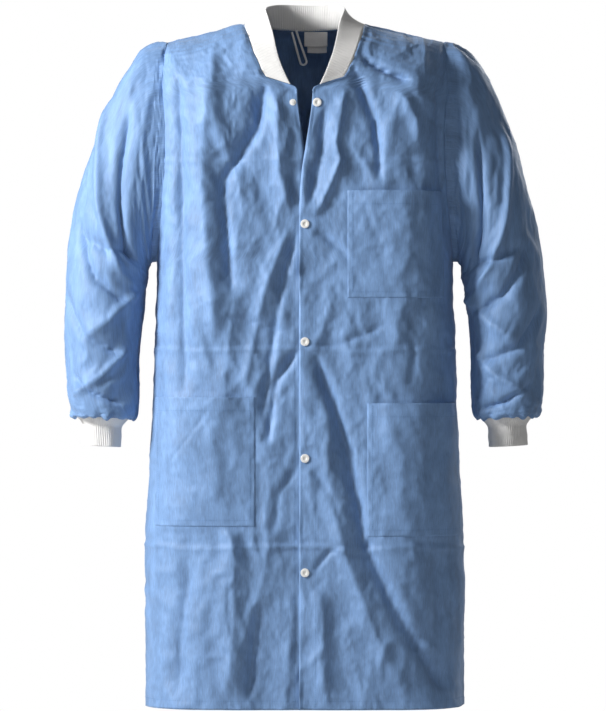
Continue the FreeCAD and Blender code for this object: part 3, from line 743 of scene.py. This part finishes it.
def tube_normal(points):
    """Outward normals of a closed grid."""
    a = np.roll(points, -1, 1) - np.roll(points, 1, 1)
    b = np.gradient(points, axis=0)
    n = np.cross(a, b)
    n /= np.linalg.norm(n, axis=-1, keepdims=True) + 1e-9
    mid = points.mean(1, keepdims=True)
    return n * np.sign(((points - mid) * n).sum(-1).mean())


SLEEVE_FOLDS = (
    # (angle, ring) points; amp; width in mm
    (((60, 1.1), (100, 2.2), (135, 3.0)), -9, 9),
    (((20, 1.6), (75, 2.9), (125, 3.7)), 9, 12),
    (((150, 2.4), (95, 3.3), (40, 3.6)), -8, 8),
    (((30, 3.4), (85, 4.1), (150, 4.3)), -9, 9),
    (((160, 3.7), (110, 4.7), (60, 5.3)), 8, 12),
    (((20, 4.5), (75, 5.2), (140, 5.5)), -8, 8),
    (((150, 5.2), (100, 5.9), (45, 6.4)), 7, 10),
    (((40, 5.9), (90, 6.5), (140, 6.8)), -7, 7),
    (((-30, 1.8), (-85, 2.8), (-140, 3.4)), -9, 10),
    (((-150, 3.4), (-90, 4.2), (-35, 4.7)), 8, 12),
    (((-30, 4.6), (-90, 5.3), (-145, 5.6)), -8, 9),
    (((-140, 5.8), (-80, 6.4), (-30, 6.7)), 6, 9),
)


def sleeve_start(side):
    """(angles, ring numbers, smooth base, folded points, pin weights) of a sleeve."""
    angles, k, base = sleeve_grid()
    a = np.broadcast_to(angles[None, :], base.shape[:2])
    kk = np.broadcast_to(k[:, None], base.shape[:2])
    relief = np.zeros(a.shape)
    for i, (points, amp, width) in enumerate(SLEEVE_FOLDS):
        line = [(p[0] + 9 * side, p[1] * RING_PITCH + (7 * side if i % 2 else 0)) for p in points]
        relief += 1.2 * crease(a, kk * RING_PITCH, line, amp, width, 22)
    relief += 2.0 * noise(a + 300, kk * 40 + 50 * side, 30, 40 + side)
    crumpled = crumple(a * 0.9 + 300, kk * RING_PITCH + 50 * side, 34, 44 + side)
    relief += 1.5 * crumpled * smooth((176 - np.abs(a)) / 12)
    rng = np.random.default_rng(50 + side)
    waves = enumerate((13, 9, 17, 5))
    ripple = sum(0.7 ** i * np.cos(np.radians(a) * n + rng.uniform(0, 6)) for i, n in waves)
    relief = relief * smooth(kk / 0.5) * smooth((8 - kk) / 1.0)
    relief += ripple * 2.4 * smooth((kk - 6.6) / 1.3) * smooth((8.1 - kk) / 0.4)
    head = smooth(kk / 0.15) * smooth((1.6 - kk) / 1.3)
    relief += head * 2.2 * np.cos(np.radians(a) * 11 + 1.0) * smooth((np.cos(np.radians(a)) - 0.2) / 0.5)
    underarm = smooth((np.abs(a) - 120) / 25) * smooth((5.5 - kk) / 0.7)
    relief = relief + (np.maximum(relief, -1.0) - relief) * underarm
    points = base + tube_normal(base) * relief[..., None]
    pins = np.zeros(a.shape)
    pins[:2] = 1
    pins[k > 7.75] = 1
    mirrored = np.array([side, 1, 1])
    return angles, k, base * mirrored, points * mirrored, np.maximum(pins, 0.006)


# ---------------------------------------------------------------- the settled cloth
def limited(settled, start, limit, keep):
    """The settled points, at most limit from where they started, and less where keep is under 1."""
    d = settled - start
    size = np.linalg.norm(d, axis=-1, keepdims=True) + 1e-9
    return start + d * (limit / size * np.tanh(size / limit)) * np.asarray(keep)[..., None]


fronts = {s: front_start(s) for s in (LEFT, RIGHT)}
back = back_start()
arms = {s: sleeve_start(s) for s in (LEFT, RIGHT)}
starts = [fronts[LEFT], fronts[RIGHT], back, arms[LEFT], arms[RIGHT]]
body_growth, arm_growth = (0.03, 0.0, 0.025), (0.0, 0.0, 0.07)
settled = settle([(s[3], s[4], arm_growth if i > 2 else body_growth, i > 2, 0.3)
                  for i, s in enumerate(starts)])


def final_front(side, raw):
    """The front's fine grid: settled, kept still at its snaps and seams, its edge turned in."""
    u, h, base, start, _ = fronts[side]
    x, z = base[..., 0], base[..., 2]
    t = np.linspace(0, 1, u.shape[1])[None, :]
    keep = (1 - 0.7 * pocket_mask(side, x, z)) * (1 - near_any(x, z, snaps(side), 8, 18))
    keep = keep * smooth((1 - t) / 0.03) * np.where(h > 940, smooth(t / 0.04), 1)
    points = limited(raw, start, 8.0, keep)
    points[..., 0] += (start[..., 0] - points[..., 0]) * (1 - smooth(t / 0.12))
    u, h, base, points = (finer(g) for g in (u, h, base, points))
    x, z = base[..., 0], base[..., 2]
    n = normal(u, h)
    still = 1 - near_any(x, z, snaps(side), 8, 16)
    fine = np.zeros(u.shape)
    for height, amp in PRESSED:
        line = height + 4 * noise(x, x * 0, 80, 5)
        fine += amp * (np.exp(-np.abs(z - line) / 1.6) - 0.5 * np.exp(-((z - line - 7) / 5) ** 2))
    fine += 0.5 * crumple(x + z * 0.3, z, 15, 13) + 0.25 * noise(x, z * 0.5, 4.5, 14)
    edge = np.where(h < FLAP_TOP, np.abs(x - side * edge_x(h)), 99)
    fine += 0.35 * (1 - smooth((edge - 27) / 2.5)) - 0.35
    fine -= 0.5 * np.exp(-((edge - 4.0) / 1.1) ** 2) + 0.4 * np.exp(-((edge - 25.0) / 1.2) ** 2)
    fine += hem_turn(h)
    points = points + n * (fine * still + FABRIC)[..., None]
    return u, h, base, points, n


FINE = {s: final_front(s, raw) for s, raw in ((LEFT, settled[0]), (RIGHT, settled[1]))}


def from_front(side, x, z, what):
    """A front's values at (x, z), weighted from its nearest points."""
    base = FINE[side][2].reshape(-1, 3)
    values = what.reshape(len(base), -1)
    flat_x, flat_z = x.ravel(), z.ravel()
    out = np.empty((len(flat_x), values.shape[1]))
    for i in range(0, len(flat_x), 300):
        d = ((base[None, :, 0] - flat_x[i:i + 300, None]) ** 2
             + (base[None, :, 2] - flat_z[i:i + 300, None]) ** 2)
        near = np.argpartition(d, 4, axis=1)[:, :4]
        w = 1 / (np.take_along_axis(d, near, 1) + 0.3)
        out[i:i + 300] = (values[near] * w[..., None]).sum(1) / w.sum(1)[:, None]
    return out.reshape(x.shape + (values.shape[1],))


def tuck_under():
    """Sinks the wearer's right front behind the left one where they lap."""
    u, h, base, points, n = FINE[RIGHT]
    across = smooth((base[..., 0] + fold_x(h) - 2) / (0.5 * (fold_x(h) - edge_x(h))))
    fade = smooth((YOKE_Z - SINK_END - h) / SINK_FADE)
    points[..., 1] += UNDER_SINK * across * fade
    lap = (h < 880) & (base[..., 0] > -24)
    x, z = points[..., 0][lap], points[..., 2][lap]
    over = from_front(LEFT, np.maximum(x, edge_x(z)), z, FINE[LEFT][3][..., 1:2])[..., 0]
    lack = np.maximum(0, over + 3.0 - points[..., 1][lap]) * smooth((base[..., 0][lap] + 24) / 14)
    points[..., 1][lap] += lack * smooth((880 - h[lap]) / 20)


tuck_under()
u, h, base, _, _ = back
v = np.linspace(0, 1, u.shape[0])[:, None]
points = limited(settled[2], back[3], 8.0, np.ones(u.shape))
u, h, base, points = (finer(g) for g in (np.where(u < 0, u + 8, u), h, base, points))
u = np.where(u > 4, u - 8, u)
n = normal(u, h)
x, z = base[..., 0], base[..., 2]
fine = 0.5 * crumple(x - z * 0.3, z, 15, 15) + 0.25 * noise(x, z * 0.5, 4.5, 16)
for height, amp in PRESSED:
    fine += amp * np.exp(-np.abs(z - height - 4 * noise(x, x * 0, 80, 7)) / 1.6)
fine += 1.1 * np.exp(-np.abs(x - 3 * noise(z, z * 0, 90, 8)) / 1.8) * smooth((900 - z) / 60)
fine += hem_turn(h)
BACK = (u, h, base, points + n * (fine * smooth((TOP_H - h) / 10) + FABRIC)[..., None], n)

ARMS = {}
for side, raw in ((LEFT, settled[3]), (RIGHT, settled[4])):
    angles, k, base, start, _ = arms[side]
    points = limited(raw, start, 9.0, np.ones(base.shape[:2]) * smooth((8 - k) / 0.5)[:, None])
    base, points = finer(base, True), finer(points, True)
    n = tube_normal(points)
    rows, cols = points.shape[:2]
    kk = np.interp(np.arange(rows) / 2, np.arange(len(k)), k)
    kk, a = np.meshgrid(kk, np.arange(cols) * 360 / cols, indexing="ij")
    run = kk * RING_PITCH
    fine = 0.5 * crumple(a * 1.2 + 20, run, 15, 17 + side) + 0.25 * noise(a * 1.6, run, 4.5, 19 + side)
    fine *= np.minimum(1, np.minimum(a, 360 - a) / 12) * smooth(kk / 0.1)
    fine += 0.9 * np.exp(-((a - 8) / 1.2) ** 2)
    ARMS[side] = (base, points + n * (fine + FABRIC * smooth((8 - kk) / 0.2))[..., None], n)


# ---------------------------------------------------------------- front and sleeve pieces, their transforms baked
def fold_blend(obj, side):
    """Reads a front's fold joint and works out the direction across its fold line, then bakes the piece's
    transform into its mesh.
    """
    j = JOINTS[f"{NAME[side]}_front_opens"]
    at, axis = np.array(j["pos_m"]), np.array(j["axis"])
    across = np.cross(axis, (0, 1, 0))
    across *= np.sign(across[0]) * side / np.linalg.norm(across)
    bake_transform(obj)


def arm_blend(obj, side):
    """Works out the direction across a sleeve's armhole, then bakes the piece's transform into its mesh."""
    low, high = ARMPIT * (side, 1, 1), armhole_ring(np.array([0.0]))[0] * (side, 1, 1)
    across = np.cross(high - low, (0, 1, 0))
    across *= np.sign(across[0]) * side / np.linalg.norm(across)
    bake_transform(obj)


# ---------------------------------------------------------------- stitches and cords
def stitches(name, paths, material=None, pitch=3.6, length=2.3, wide=0.6, high=0.42):
    """Short thread lozenges along paths of (points, normals) in coat mm."""
    verts, faces = [], []
    for points, normals in paths:
        step = np.linalg.norm(np.diff(points, axis=0), axis=-1)
        run = np.concatenate([[0], np.cumsum(step)])
        count = int(run[-1] // pitch)
        at = (np.arange(count) + 0.5) * pitch

        def read(values, t):
            return np.stack([np.interp(t, run, values[:, i]) for i in range(3)], -1)

        mid, n = read(points, at), read(normals, at)
        ahead = read(points, at + length / 2) - read(points, at - length / 2)
        ahead /= np.linalg.norm(ahead, axis=-1, keepdims=True) + 1e-9
        n /= np.linalg.norm(n, axis=-1, keepdims=True)
        across = np.cross(n, ahead)
        for i in range(count):
            first = len(verts)
            for s, w, up in ((-0.5, 0.25, 0.35), (-0.2, 0.5, 1.0), (0.2, 0.5, 1.0), (0.5, 0.25, 0.35)):
                at_ring = mid[i] + ahead[i] * s * length
                reach = across[i] * w * wide
                verts += [at_ring - reach, at_ring + n[i] * up * high, at_ring + reach]
            for r in range(3):
                k = first + 3 * r
                faces += [(k, k + 1, k + 4, k + 3), (k + 1, k + 2, k + 5, k + 4)]
            faces += [(first, first + 2, first + 1), (first + 9, first + 10, first + 11)]
    return mesh_object(name, place(verts), faces, material or THREAD)


def cord(name, points, radius, material, closed=False, segments=7):
    """A round cord through points in coat mm."""
    points = np.asarray(points, float)
    ahead = np.roll(points, -1, 0) - np.roll(points, 1, 0) if closed else np.gradient(points, axis=0)
    ahead /= np.linalg.norm(ahead, axis=-1, keepdims=True) + 1e-9
    side_way = np.cross(ahead, (0.05, 0.9, 0.43))
    side_way /= np.linalg.norm(side_way, axis=-1, keepdims=True) + 1e-9
    up = np.cross(side_way, ahead)
    turn = np.linspace(0, 2 * math.pi, segments, endpoint=False)
    ring = points[:, None] + radius * (np.cos(turn)[None, :, None] * side_way[:, None]
                                       + np.sin(turn)[None, :, None] * up[:, None])
    if closed:
        ring = np.concatenate([ring, ring[:1]])
    return grid_object(name, ring, material, closed=True, thick=0)


def path_on(grid, row=None, col=None, lift_by=0.1, rows=slice(None), cols=slice(None)):
    """(points, normals) along a row or a column of a fine grid."""
    points, n = grid[3], grid[4]
    pick = (row, cols) if row is not None else (rows, col)
    return points[pick] + n[pick] * lift_by, n[pick]


def column_at(grid, side, offset):
    """(points, normals) at a distance from a front's free edge, up to where the flap ends."""
    u, h, base, points, n = grid
    rows = np.nonzero(h[:, 0] < FLAP_TOP - 6)[0]
    target = side * edge_x(h[rows, 0]) + side * offset
    out, ns = [], []
    for r, x in zip(rows, target):
        xs = base[r, :, 0]
        order = np.argsort(xs)
        out.append([np.interp(x, xs[order], points[r, order, i]) for i in range(3)])
        ns.append([np.interp(x, xs[order], n[r, order, i]) for i in range(3)])
    return np.array(out) + np.array(ns) * 0.1, np.array(ns)


# ---------------------------------------------------------------- the coat's panels
for side in (LEFT, RIGHT):
    u, h, base, pts, n = FINE[side]
    order = OUTWARD[side]
    name = NAME[side]
    obj = grid_object(f"front_{name}", pts[:, order], CLOTH, uv=lengths_uv(base[:, order]))
    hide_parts(f"front_panel_{name}", f"front_flap_{name}")
    fold_blend(obj, side)
    hem_row = int(np.argmin(np.abs(h[:, 0] - 13)))
    seams = stitches(f"front_stitches_{name}", [
        column_at(FINE[side], side, 4.0), column_at(FINE[side], side, 25.0),
        path_on(FINE[side], row=hem_row, cols=slice(3, -2))])
    fold_blend(seams, side)

u, h, base, pts, n = BACK
obj = grid_object("back", pts, CLOTH, uv=lengths_uv(base))
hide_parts("back_panel")
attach(obj, "coat")
hem_row = int(np.argmin(np.abs(h[:, 0] - 13)))
extra = [stitches("back_stitches", [path_on(BACK, row=hem_row, cols=slice(2, -2))])]
for side in (LEFT, RIGHT):
    name = NAME[side]
    _, fh, fbase, fpts, _ = FINE[side]
    side_edge = fpts[fh[:, 0] < ARMPIT_Z + 2, -1] + (side * 0.15, 0, 0)
    extra.append(cord(f"side_seam_{name}", side_edge, 0.75, CLOTH))
    shoulder = fpts[-1][np.abs(fbase[-1, :, 0]) > NECK_HALF - 1]
    extra.append(cord(f"shoulder_seam_{name}", shoulder, 0.8, CLOTH))
    angles = np.linspace(0, 360, 300, endpoint=False)
    ring = armhole_ring(angles) * (side, 1, 1) + (side * 1.0, 0, 0)
    ring = ring + 0.35 * np.sin(np.radians(angles) * 90)[:, None] * (side, 0.3, 0.3)
    extra.append(cord(f"armhole_seam_{name}", ring, 1.1, CLOTH, closed=True))
for piece in extra:
    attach(piece, "coat")

for side in (LEFT, RIGHT):
    base, pts, n = ARMS[side]
    name = NAME[side]
    order = OUTWARD[side]
    obj = grid_object(f"sleeve_cloth_{name}", pts[:, order], CLOTH, closed=True,
                      uv=lengths_uv(base[:, order], True))
    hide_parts(f"sleeve_{name}")
    arm_blend(obj, side)
    wrist = tuple(np.concatenate([g[-3], g[-3][:1]]) for g in (pts, n))
    seam = stitches(f"wrist_stitches_{name}", [wrist], pitch=4.0)
    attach(seam, f"{name}_arm")


# ---------------------------------------------------------------- pockets
def u_wide(x, h):
    """u at a distance from the centre front."""
    half = section(h, False)[1]
    share = np.clip((x - FLAT) / (half - FLAT), 0, 1)
    return np.where(x <= FLAT, x / FLAT, 1 + np.arcsin(share ** (ROUND / 2)) * 2 / math.pi)


def edge_spaced(count, size):
    """Shares from 0 to 1 with extra lines close to both ends, for a turned edge."""
    near = np.array([0, 0.7, 1.6, 3.0]) / size
    return np.concatenate([near, np.linspace(6 / size, 1 - 6 / size, count), 1 - near[::-1]])


POCKET_FOLDS = {
    "chest_pocket": ((((80, 960 - 168), (120, 700), (100, 640)), -2.0, 9),
                     (((196, 785), (200, 700), (194, 640)), -3.5, 5),
                     (((150, 790), (160, 720), (150, 650)), 2.0, 14)),
    "lower_pocket_left": ((((120, 460), (150, 380), (140, 280)), 2.5, 14),
                          (((205, 450), (190, 360), (200, 280)), -3.0, 9)),
    "lower_pocket_right": ((((212, 366), (178, 412), (140, 467)), -2.6, 3.0),
                           (((208, 372), (172, 418), (134, 470)), 2.0, 7),
                           (((150, 440), (130, 360), (150, 290)), 2.5, 14)),
}
for number, (name, (side, top, height, inner, outer)) in enumerate(POCKETS.items()):
    low = top - height
    h = np.broadcast_to((low + height * edge_spaced(52, height))[:, None], (60, 60)).copy()
    half = section(h, False)[1]
    first, last = u_wide(np.full(h.shape, inner), h), u_wide(np.minimum(outer, half - 3), h)
    share = edge_spaced(52, outer - inner)[None, :]
    u = side * (first + (last - first) * share)
    base = body(u, h)
    n = normal(u, h)
    x, z = base[..., 0], base[..., 2]
    under = (from_front(side, x, z, FINE[side][3]) - base)
    d = (under * n).sum(-1)
    wide = (outer - inner) * share
    deep = h - low
    rim = np.minimum(np.minimum(wide, outer - inner - wide), deep)
    lie = 0.35 + 0.75 * smooth(rim / 2.2) - 0.55 * np.exp(-((rim - 4.2) / 0.9) ** 2)
    gape = 7.5 * smooth(share / 0.3) * smooth((1 - share) / 0.3) * smooth(deep / height) ** 1.6
    folds = sum(crease(np.abs(x), z, line, amp, width, 30) for line, amp, width in POCKET_FOLDS[name])
    folds = folds + 1.4 * noise(x, z * 0.6, 26, 60 + number) + 0.6 * noise(x, z, 9, 63 + number)
    folds = folds * smooth(rim / 14)
    pucker = 0.5 * noise(x + z, x - z, 7, 66 + number) * np.exp(-rim / 9) * smooth(rim / 1.5)
    band = 0.35 * smooth((h - top + 24) / 1.5) - 0.45 * np.exp(-((h - top + 22) / 1.0) ** 2)
    d = d + lie + np.maximum(gape + folds, -0.2) + pucker + band * smooth(rim / 3)
    pts = base + n * d[..., None]
    order = OUTWARD[side]
    obj = grid_object(f"{name}_cloth", pts[:, order], POCKET_CLOTH,
                      uv=lengths_uv(base[:, order]) + (number * 0.7, 0.3))
    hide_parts(name)
    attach(obj, "coat")
    c0, c1, r0 = 5, -6, 5
    lift_n = n * 0.12
    grid = (u, h, base, pts, n)
    seam = stitches(f"{name}_stitches", [
        (pts[r0:, c0] + lift_n[r0:, c0], n[r0:, c0]), (pts[r0:, c1] + lift_n[r0:, c1], n[r0:, c1]),
        (pts[r0, c0:c1] + lift_n[r0, c0:c1], n[r0, c0:c1]),
        path_on(grid, row=int(np.argmin(np.abs(h[:, 0] - top + 22))), cols=slice(c0, c1))])
    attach(seam, "coat")

# ---------------------------------------------------------------- knit collar and cuffs
# along the neck seam, front to centre back: x, turn over the shoulder, and the way the band leans
NECK_STATIONS = ((60, 6.5, (-37, -3, -12)), (66.03, 12.5, (-39, -6, -11)), (79.98, 33.0, (-40, -9, -7)),
                 (89.745, 58.0, (-38, -9, 7)), (93, 86.0, (-34, -5, 22)), (81.84, 104.0, (-26, -5, 31)),
                 (50.22, 116.0, (-12, -5, 36)), (0, 121.0, (0, -5, 38)))
COLLAR_W = 40.0


def neck_point(x, turn):
    """A point of the neck seam, on the front up to 90 degrees and on the back past it."""
    over = turn > 90
    h = YOKE_Z + YOKE * math.radians(180 - turn if over else turn)
    return body(4 - x / FLAT if over else x / FLAT, min(h, TOP_H))


seam, free = [], []
for x, turn, lean in NECK_STATIONS:
    lean = np.array(lean) / np.linalg.norm(lean)
    seam.append(neck_point(x, turn) + lean * 0.2)
    free.append(seam[-1] + lean * COLLAR_W)
seam = np.array([p * MIRROR for p in seam[:-1]] + seam[::-1])
free = np.array([p * MIRROR for p in free[:-1]] + free[::-1])


def curve(points, t):
    """Points on a spline through others, at shares t of its length."""
    run = np.concatenate([[0], np.cumsum(np.linalg.norm(np.diff(points, axis=0), axis=-1))])
    return spline(run / run[-1], points, t)


def profile(width, near, far, count=9):
    """(w, d, side) round a folded band: up its outer face, over its edge and down the inside."""
    w = np.linspace(0, 1, count)
    r = (far - near) / 2
    turn = np.linspace(math.pi / 2, -math.pi / 2, 7)[1:-1]
    cap = [(1 + r / width * (math.cos(a) - 1), near + r + r * math.sin(a), math.sin(a)) for a in turn]
    up = [(x * (1 - r / width), far, 1) for x in w]
    inside = [(x * (1 - r / width), near, -1) for x in w[::-1]]
    return np.array(up + cap + inside + [(0.0, near + r, 0)])


ribs, per = 172, 6
t = np.linspace(0.002, 0.998, ribs * per)
a, b = curve(seam, t), curve(free, t)
loop = profile(COLLAR_W, -0.5, 1.5)
w = loop[:, 0][:, None]
band_points = a[None] + (b - a)[None] * w[..., None]
along = np.gradient(a, axis=0)[None] * (1 - w[..., None]) + np.gradient(b, axis=0)[None] * w[..., None]
n = np.cross(along, np.broadcast_to((b - a)[None], along.shape))
n /= np.linalg.norm(n, axis=-1, keepdims=True)
rib = 0.30 * np.cos(2 * math.pi * ribs * t)[None, :] * loop[:, 2][:, None]
along_t = t * 400
wave = (1.3 * noise(along_t, t * 0, 38, 70)[None, :] + 0.5 * noise(along_t, t * 0, 14, 71)[None, :]) * w ** 1.5
end = smooth(t / 0.008) * smooth((1 - t) / 0.008)
d = loop[:, 1][:, None] * (0.35 + 0.65 * end)[None, :] + rib * end[None, :] + wave * end[None, :]
edge_wave = 0.8 * noise(along_t, t * 0, 22, 72)[None, :] * w ** 3
pts = band_points + n * d[..., None] + (b - a)[None] / COLLAR_W * edge_wave[..., None]
cols = np.concatenate([pts, pts[:1]])
run = np.linalg.norm(np.diff((a + b) / 2, axis=0), axis=-1).cumsum()
up_band = np.concatenate([w[:, 0] * COLLAR_W, [0]])
uv = np.stack(np.broadcast_arrays(np.concatenate([[0], run])[None, :], up_band[:, None]), -1) / 1000
collar = grid_object("knit_collar_ribbed", cols, KNIT, uv=uv, thick=0, hollow=True)
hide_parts("knit_collar")
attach(collar, "coat")
neck = stitches("collar_stitches", [(a + (b - a) * 0.05 + n[3] * 1.8, n[3])], material=TAPE, pitch=4.2)
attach(neck, "coat")
neck_cord = cord("neck_seam", a[::4] - (b - a)[::4] / COLLAR_W * 0.1 + n[0][::4] * 0.6, 0.8, CLOTH)
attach(neck_cord, "coat")

for side in (LEFT, RIGHT):
    name = NAME[side]
    count, per = 64, 8
    turn = np.linspace(0, 2 * math.pi, count * per, endpoint=False)
    z = np.linspace(1.5, -CUFF_LEN, 30)
    r = CUFF_R + (CUFF_FLARE - CUFF_R) * smooth((z + CUFF_LEN - CUFF_STRAIGHT) / CUFF_STRAIGHT * 1.5) ** 1.1
    rows = [(zz, rr, 1.0) for zz, rr in zip(z, r)]
    rows += [(-CUFF_LEN - 0.75, CUFF_R - 0.35, 0.6), (-CUFF_LEN - 1.0, CUFF_R - 1.0, 0.0),
             (-CUFF_LEN - 0.75, CUFF_R - 1.65, -0.6)]
    rows += [(zz, rr - CUFF_WALL, -1.0) for zz, rr in zip(z[::-1], r[::-1])]
    rows += rows[:1]
    rows = np.array(rows)
    zz, rr, face = (rows[:, i][:, None] for i in range(3))
    down = smooth(-zz / CUFF_LEN)
    rad = rr + 0.32 * face * np.cos(turn * count)[None, :]
    sway = 0.9 * np.cos(turn * 3 + side)[None, :] + 0.5 * np.cos(turn * 7 + 2 * side)[None, :]
    rad = rad + sway * (0.4 + 0.6 * down)
    rad = rad + 0.8 * np.cos(turn * 13)[None, :] * smooth((zz + 14) / 14)
    rad = rad + 0.5 * np.sin(zz / 4.2) * np.cos(turn * 2 + zz / 9)
    pts = cuff_ring(turn[None, :] + 0 * zz, rad, zz + 0 * turn[None, :]) * (side, 1, 1)
    u_len = 2 * math.pi * CUFF_R / 1000
    uv = np.stack(np.broadcast_arrays(np.linspace(0, u_len, count * per + 1)[None, :], np.abs(zz) / 1000), -1)
    cuff = grid_object(f"cuff_{name}", pts[:, OUTWARD[side]], KNIT, closed=True, uv=uv, thick=0, hollow=True)
    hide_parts(f"knit_cuff_{name}")
    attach(cuff, f"{name}_arm")


# ---------------------------------------------------------------- labels, hang loop and snaps
def small_label(name, bow, seed):
    """A blank woven label hanging from the back of the neck."""
    low, high = (np.array(p) * 1000 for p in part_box(name))
    low, high = low + ORIGIN, high + ORIGIN
    s, v = np.meshgrid(np.linspace(0, 1, 29), np.linspace(0, 1, 25))
    x = low[0] + (high[0] - low[0]) * s
    z = low[2] + (high[2] - low[2]) * v
    hang = 1 - v
    y = low[1] - bow * hang ** 1.5 * (0.6 + 0.4 * np.cos((s - 0.4) * 3)) + 0.3 * noise(x, z, 8, seed)
    z = z + 0.5 * hang * (s - 0.5) ** 2 * 4
    rim = np.minimum(np.minimum(s, 1 - s) * (high[0] - low[0]), np.minimum(v, 1 - v) * (high[2] - low[2]))
    y = y + 0.18 * smooth(rim / 1.2)
    pts = np.stack([x, y, z], -1)
    obj = grid_object(f"{name}_cloth", pts, LABEL, uv=lengths_uv(pts), thick=0.35)
    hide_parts(name)
    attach(obj, "labels")
    top = (pts[-2] - (0, 0.15, 0), np.tile([0.0, -1, 0], (29, 1)))
    seam = stitches(f"{name}_stitches", [top], material=TAPE, pitch=2.6, length=1.7)
    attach(seam, "labels")


small_label("neck_label", 1.2, 80)
small_label("care_label", 1.2, 81)

low, high = (np.array(p) * 1000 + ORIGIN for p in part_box("hang_loop"))
slant = math.radians(17)
tape, wide, tall = 3.0, 5.0, 54.5
s = np.linspace(0, 1, 90)
straight, turned = tall - wide, math.pi * wide
total = 2 * straight + turned
run = s * total
down, up, bend = run < straight, run > straight + turned, (run - straight) / wide
lx = np.where(down, -wide, np.where(up, wide, -wide * np.cos(bend)))
lz = np.where(down, -run, np.where(up, -(total - run), -straight - wide * np.sin(bend)))
lx = lx * (0.72 + 0.28 * smooth(-lz / tall))
ahead = np.stack([np.gradient(lx), np.gradient(lz)], -1)
ahead /= np.linalg.norm(ahead, axis=-1, keepdims=True)
across = np.stack([-ahead[:, 1], ahead[:, 0]], -1)
v = np.linspace(-0.5, 0.5, 7)[:, None]
gx = lx[None] + across[None, :, 0] * v * tape
gz = lz[None] + across[None, :, 1] * v * tape
gy = 0.35 * np.cos(v * math.pi) + 1.1 * np.sin(s * math.pi)[None] ** 2 * 0.8 + 0 * gx
x = -17 + gx * math.cos(slant) - gz * math.sin(slant)
z = high[2] - 0.8 + gx * math.sin(slant) + gz * math.cos(slant)
pts = np.stack([x, (low[1] + high[1]) / 2 - gy, z], -1)
obj = grid_object("hang_loop_tape", pts[::-1], TAPE, uv=lengths_uv(pts), thick=0.5)
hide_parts("hang_loop")
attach(obj, "loop")

for name in ("snap_caps", "snap_sockets", "snap_studs", "snap_posts"):
    data = bpy.data.objects[name].data
    data.materials.clear()
    data.materials.append(SNAP)

# ---------------------------------------------------------------- camera, light, floor
scene = bpy.context.scene
camera = bpy.data.objects.new("camera", bpy.data.cameras.new("camera"))
COLLECTION.objects.link(camera)
DISTANCE, VIEW_HEIGHT = 7.0, 1.102
centre = place((-3.0, 0.0, 540.0))
camera.location = (centre[0], centre[1] - DISTANCE, centre[2])
camera.rotation_euler = (math.radians(90), 0, 0)
camera.data.sensor_fit = "VERTICAL"
camera.data.sensor_height = 24
camera.data.lens = 24 * DISTANCE / VIEW_HEIGHT
camera.data.clip_end = 100
scene.camera = camera


def area_light(name, at, look, size, power):
    """A square white lamp at a point, facing another."""
    data = bpy.data.lights.new(name, "AREA")
    data.shape, data.size, data.energy = "SQUARE", size, power
    lamp = bpy.data.objects.new(name, data)
    lamp.location = at
    lamp.rotation_euler = Vector(look - at).to_track_quat("-Z", "Y").to_euler()
    COLLECTION.objects.link(lamp)


mid = place((0, 0, 560))
area_light("key", mid + (-2.0, -0.95, 1.0), mid, 0.6, 92)
area_light("fill", mid + (0.6, -3.6, 0.5), mid, 2.2, 7.5)
area_light("rim", mid + (1.6, 2.6, 1.4), mid, 1.6, 45)

world = bpy.data.worlds.new("studio")
world.use_nodes = True
scene.world = world
sky = world.node_tree
sky.nodes.clear()
lit = node(sky, "ShaderNodeBackground", Color=(1, 1, 1, 1), Strength=0.14)
seen = node(sky, "ShaderNodeBackground", Color=(1, 1, 1, 1), Strength=1.0)
pick = node(sky, "ShaderNodeMixShader", Fac=node(sky, "ShaderNodeLightPath").outputs["Is Camera Ray"])
sky.links.new(lit.outputs[0], pick.inputs[1])
sky.links.new(seen.outputs[0], pick.inputs[2])
node(sky, "ShaderNodeOutputWorld", Surface=pick.outputs[0])

FLOOR_DROP, FLOOR_HALF = 0.10, 30.0
corners = [(x * FLOOR_HALF, y * FLOOR_HALF, HEM_Z - FLOOR_DROP) for x, y in ((-1, -1), (1, -1), (1, 1), (-1, 1))]
floor_mesh = bpy.data.meshes.new("floor")
floor_mesh.from_pydata(corners, [], [(0, 1, 2, 3)])
floor = bpy.data.objects.new("floor", floor_mesh)
COLLECTION.objects.link(floor)
paint, tree, surface = new_material("floor_white", (0.55, 0.55, 0.55), 0.9)
glow = node(tree, "ShaderNodeEmission", Strength=1.0)
both = node(tree, "ShaderNodeMixShader", Fac=node(tree, "ShaderNodeLightPath").outputs["Is Camera Ray"])
tree.links.new(surface.outputs[0], both.inputs[1])
tree.links.new(glow.outputs[0], both.inputs[2])
tree.links.new(both.outputs[0], tree.nodes["Material Output"].inputs["Surface"])
floor_mesh.materials.append(paint)
floor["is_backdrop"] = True
scene.view_settings.view_transform = "Standard"

low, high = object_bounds()
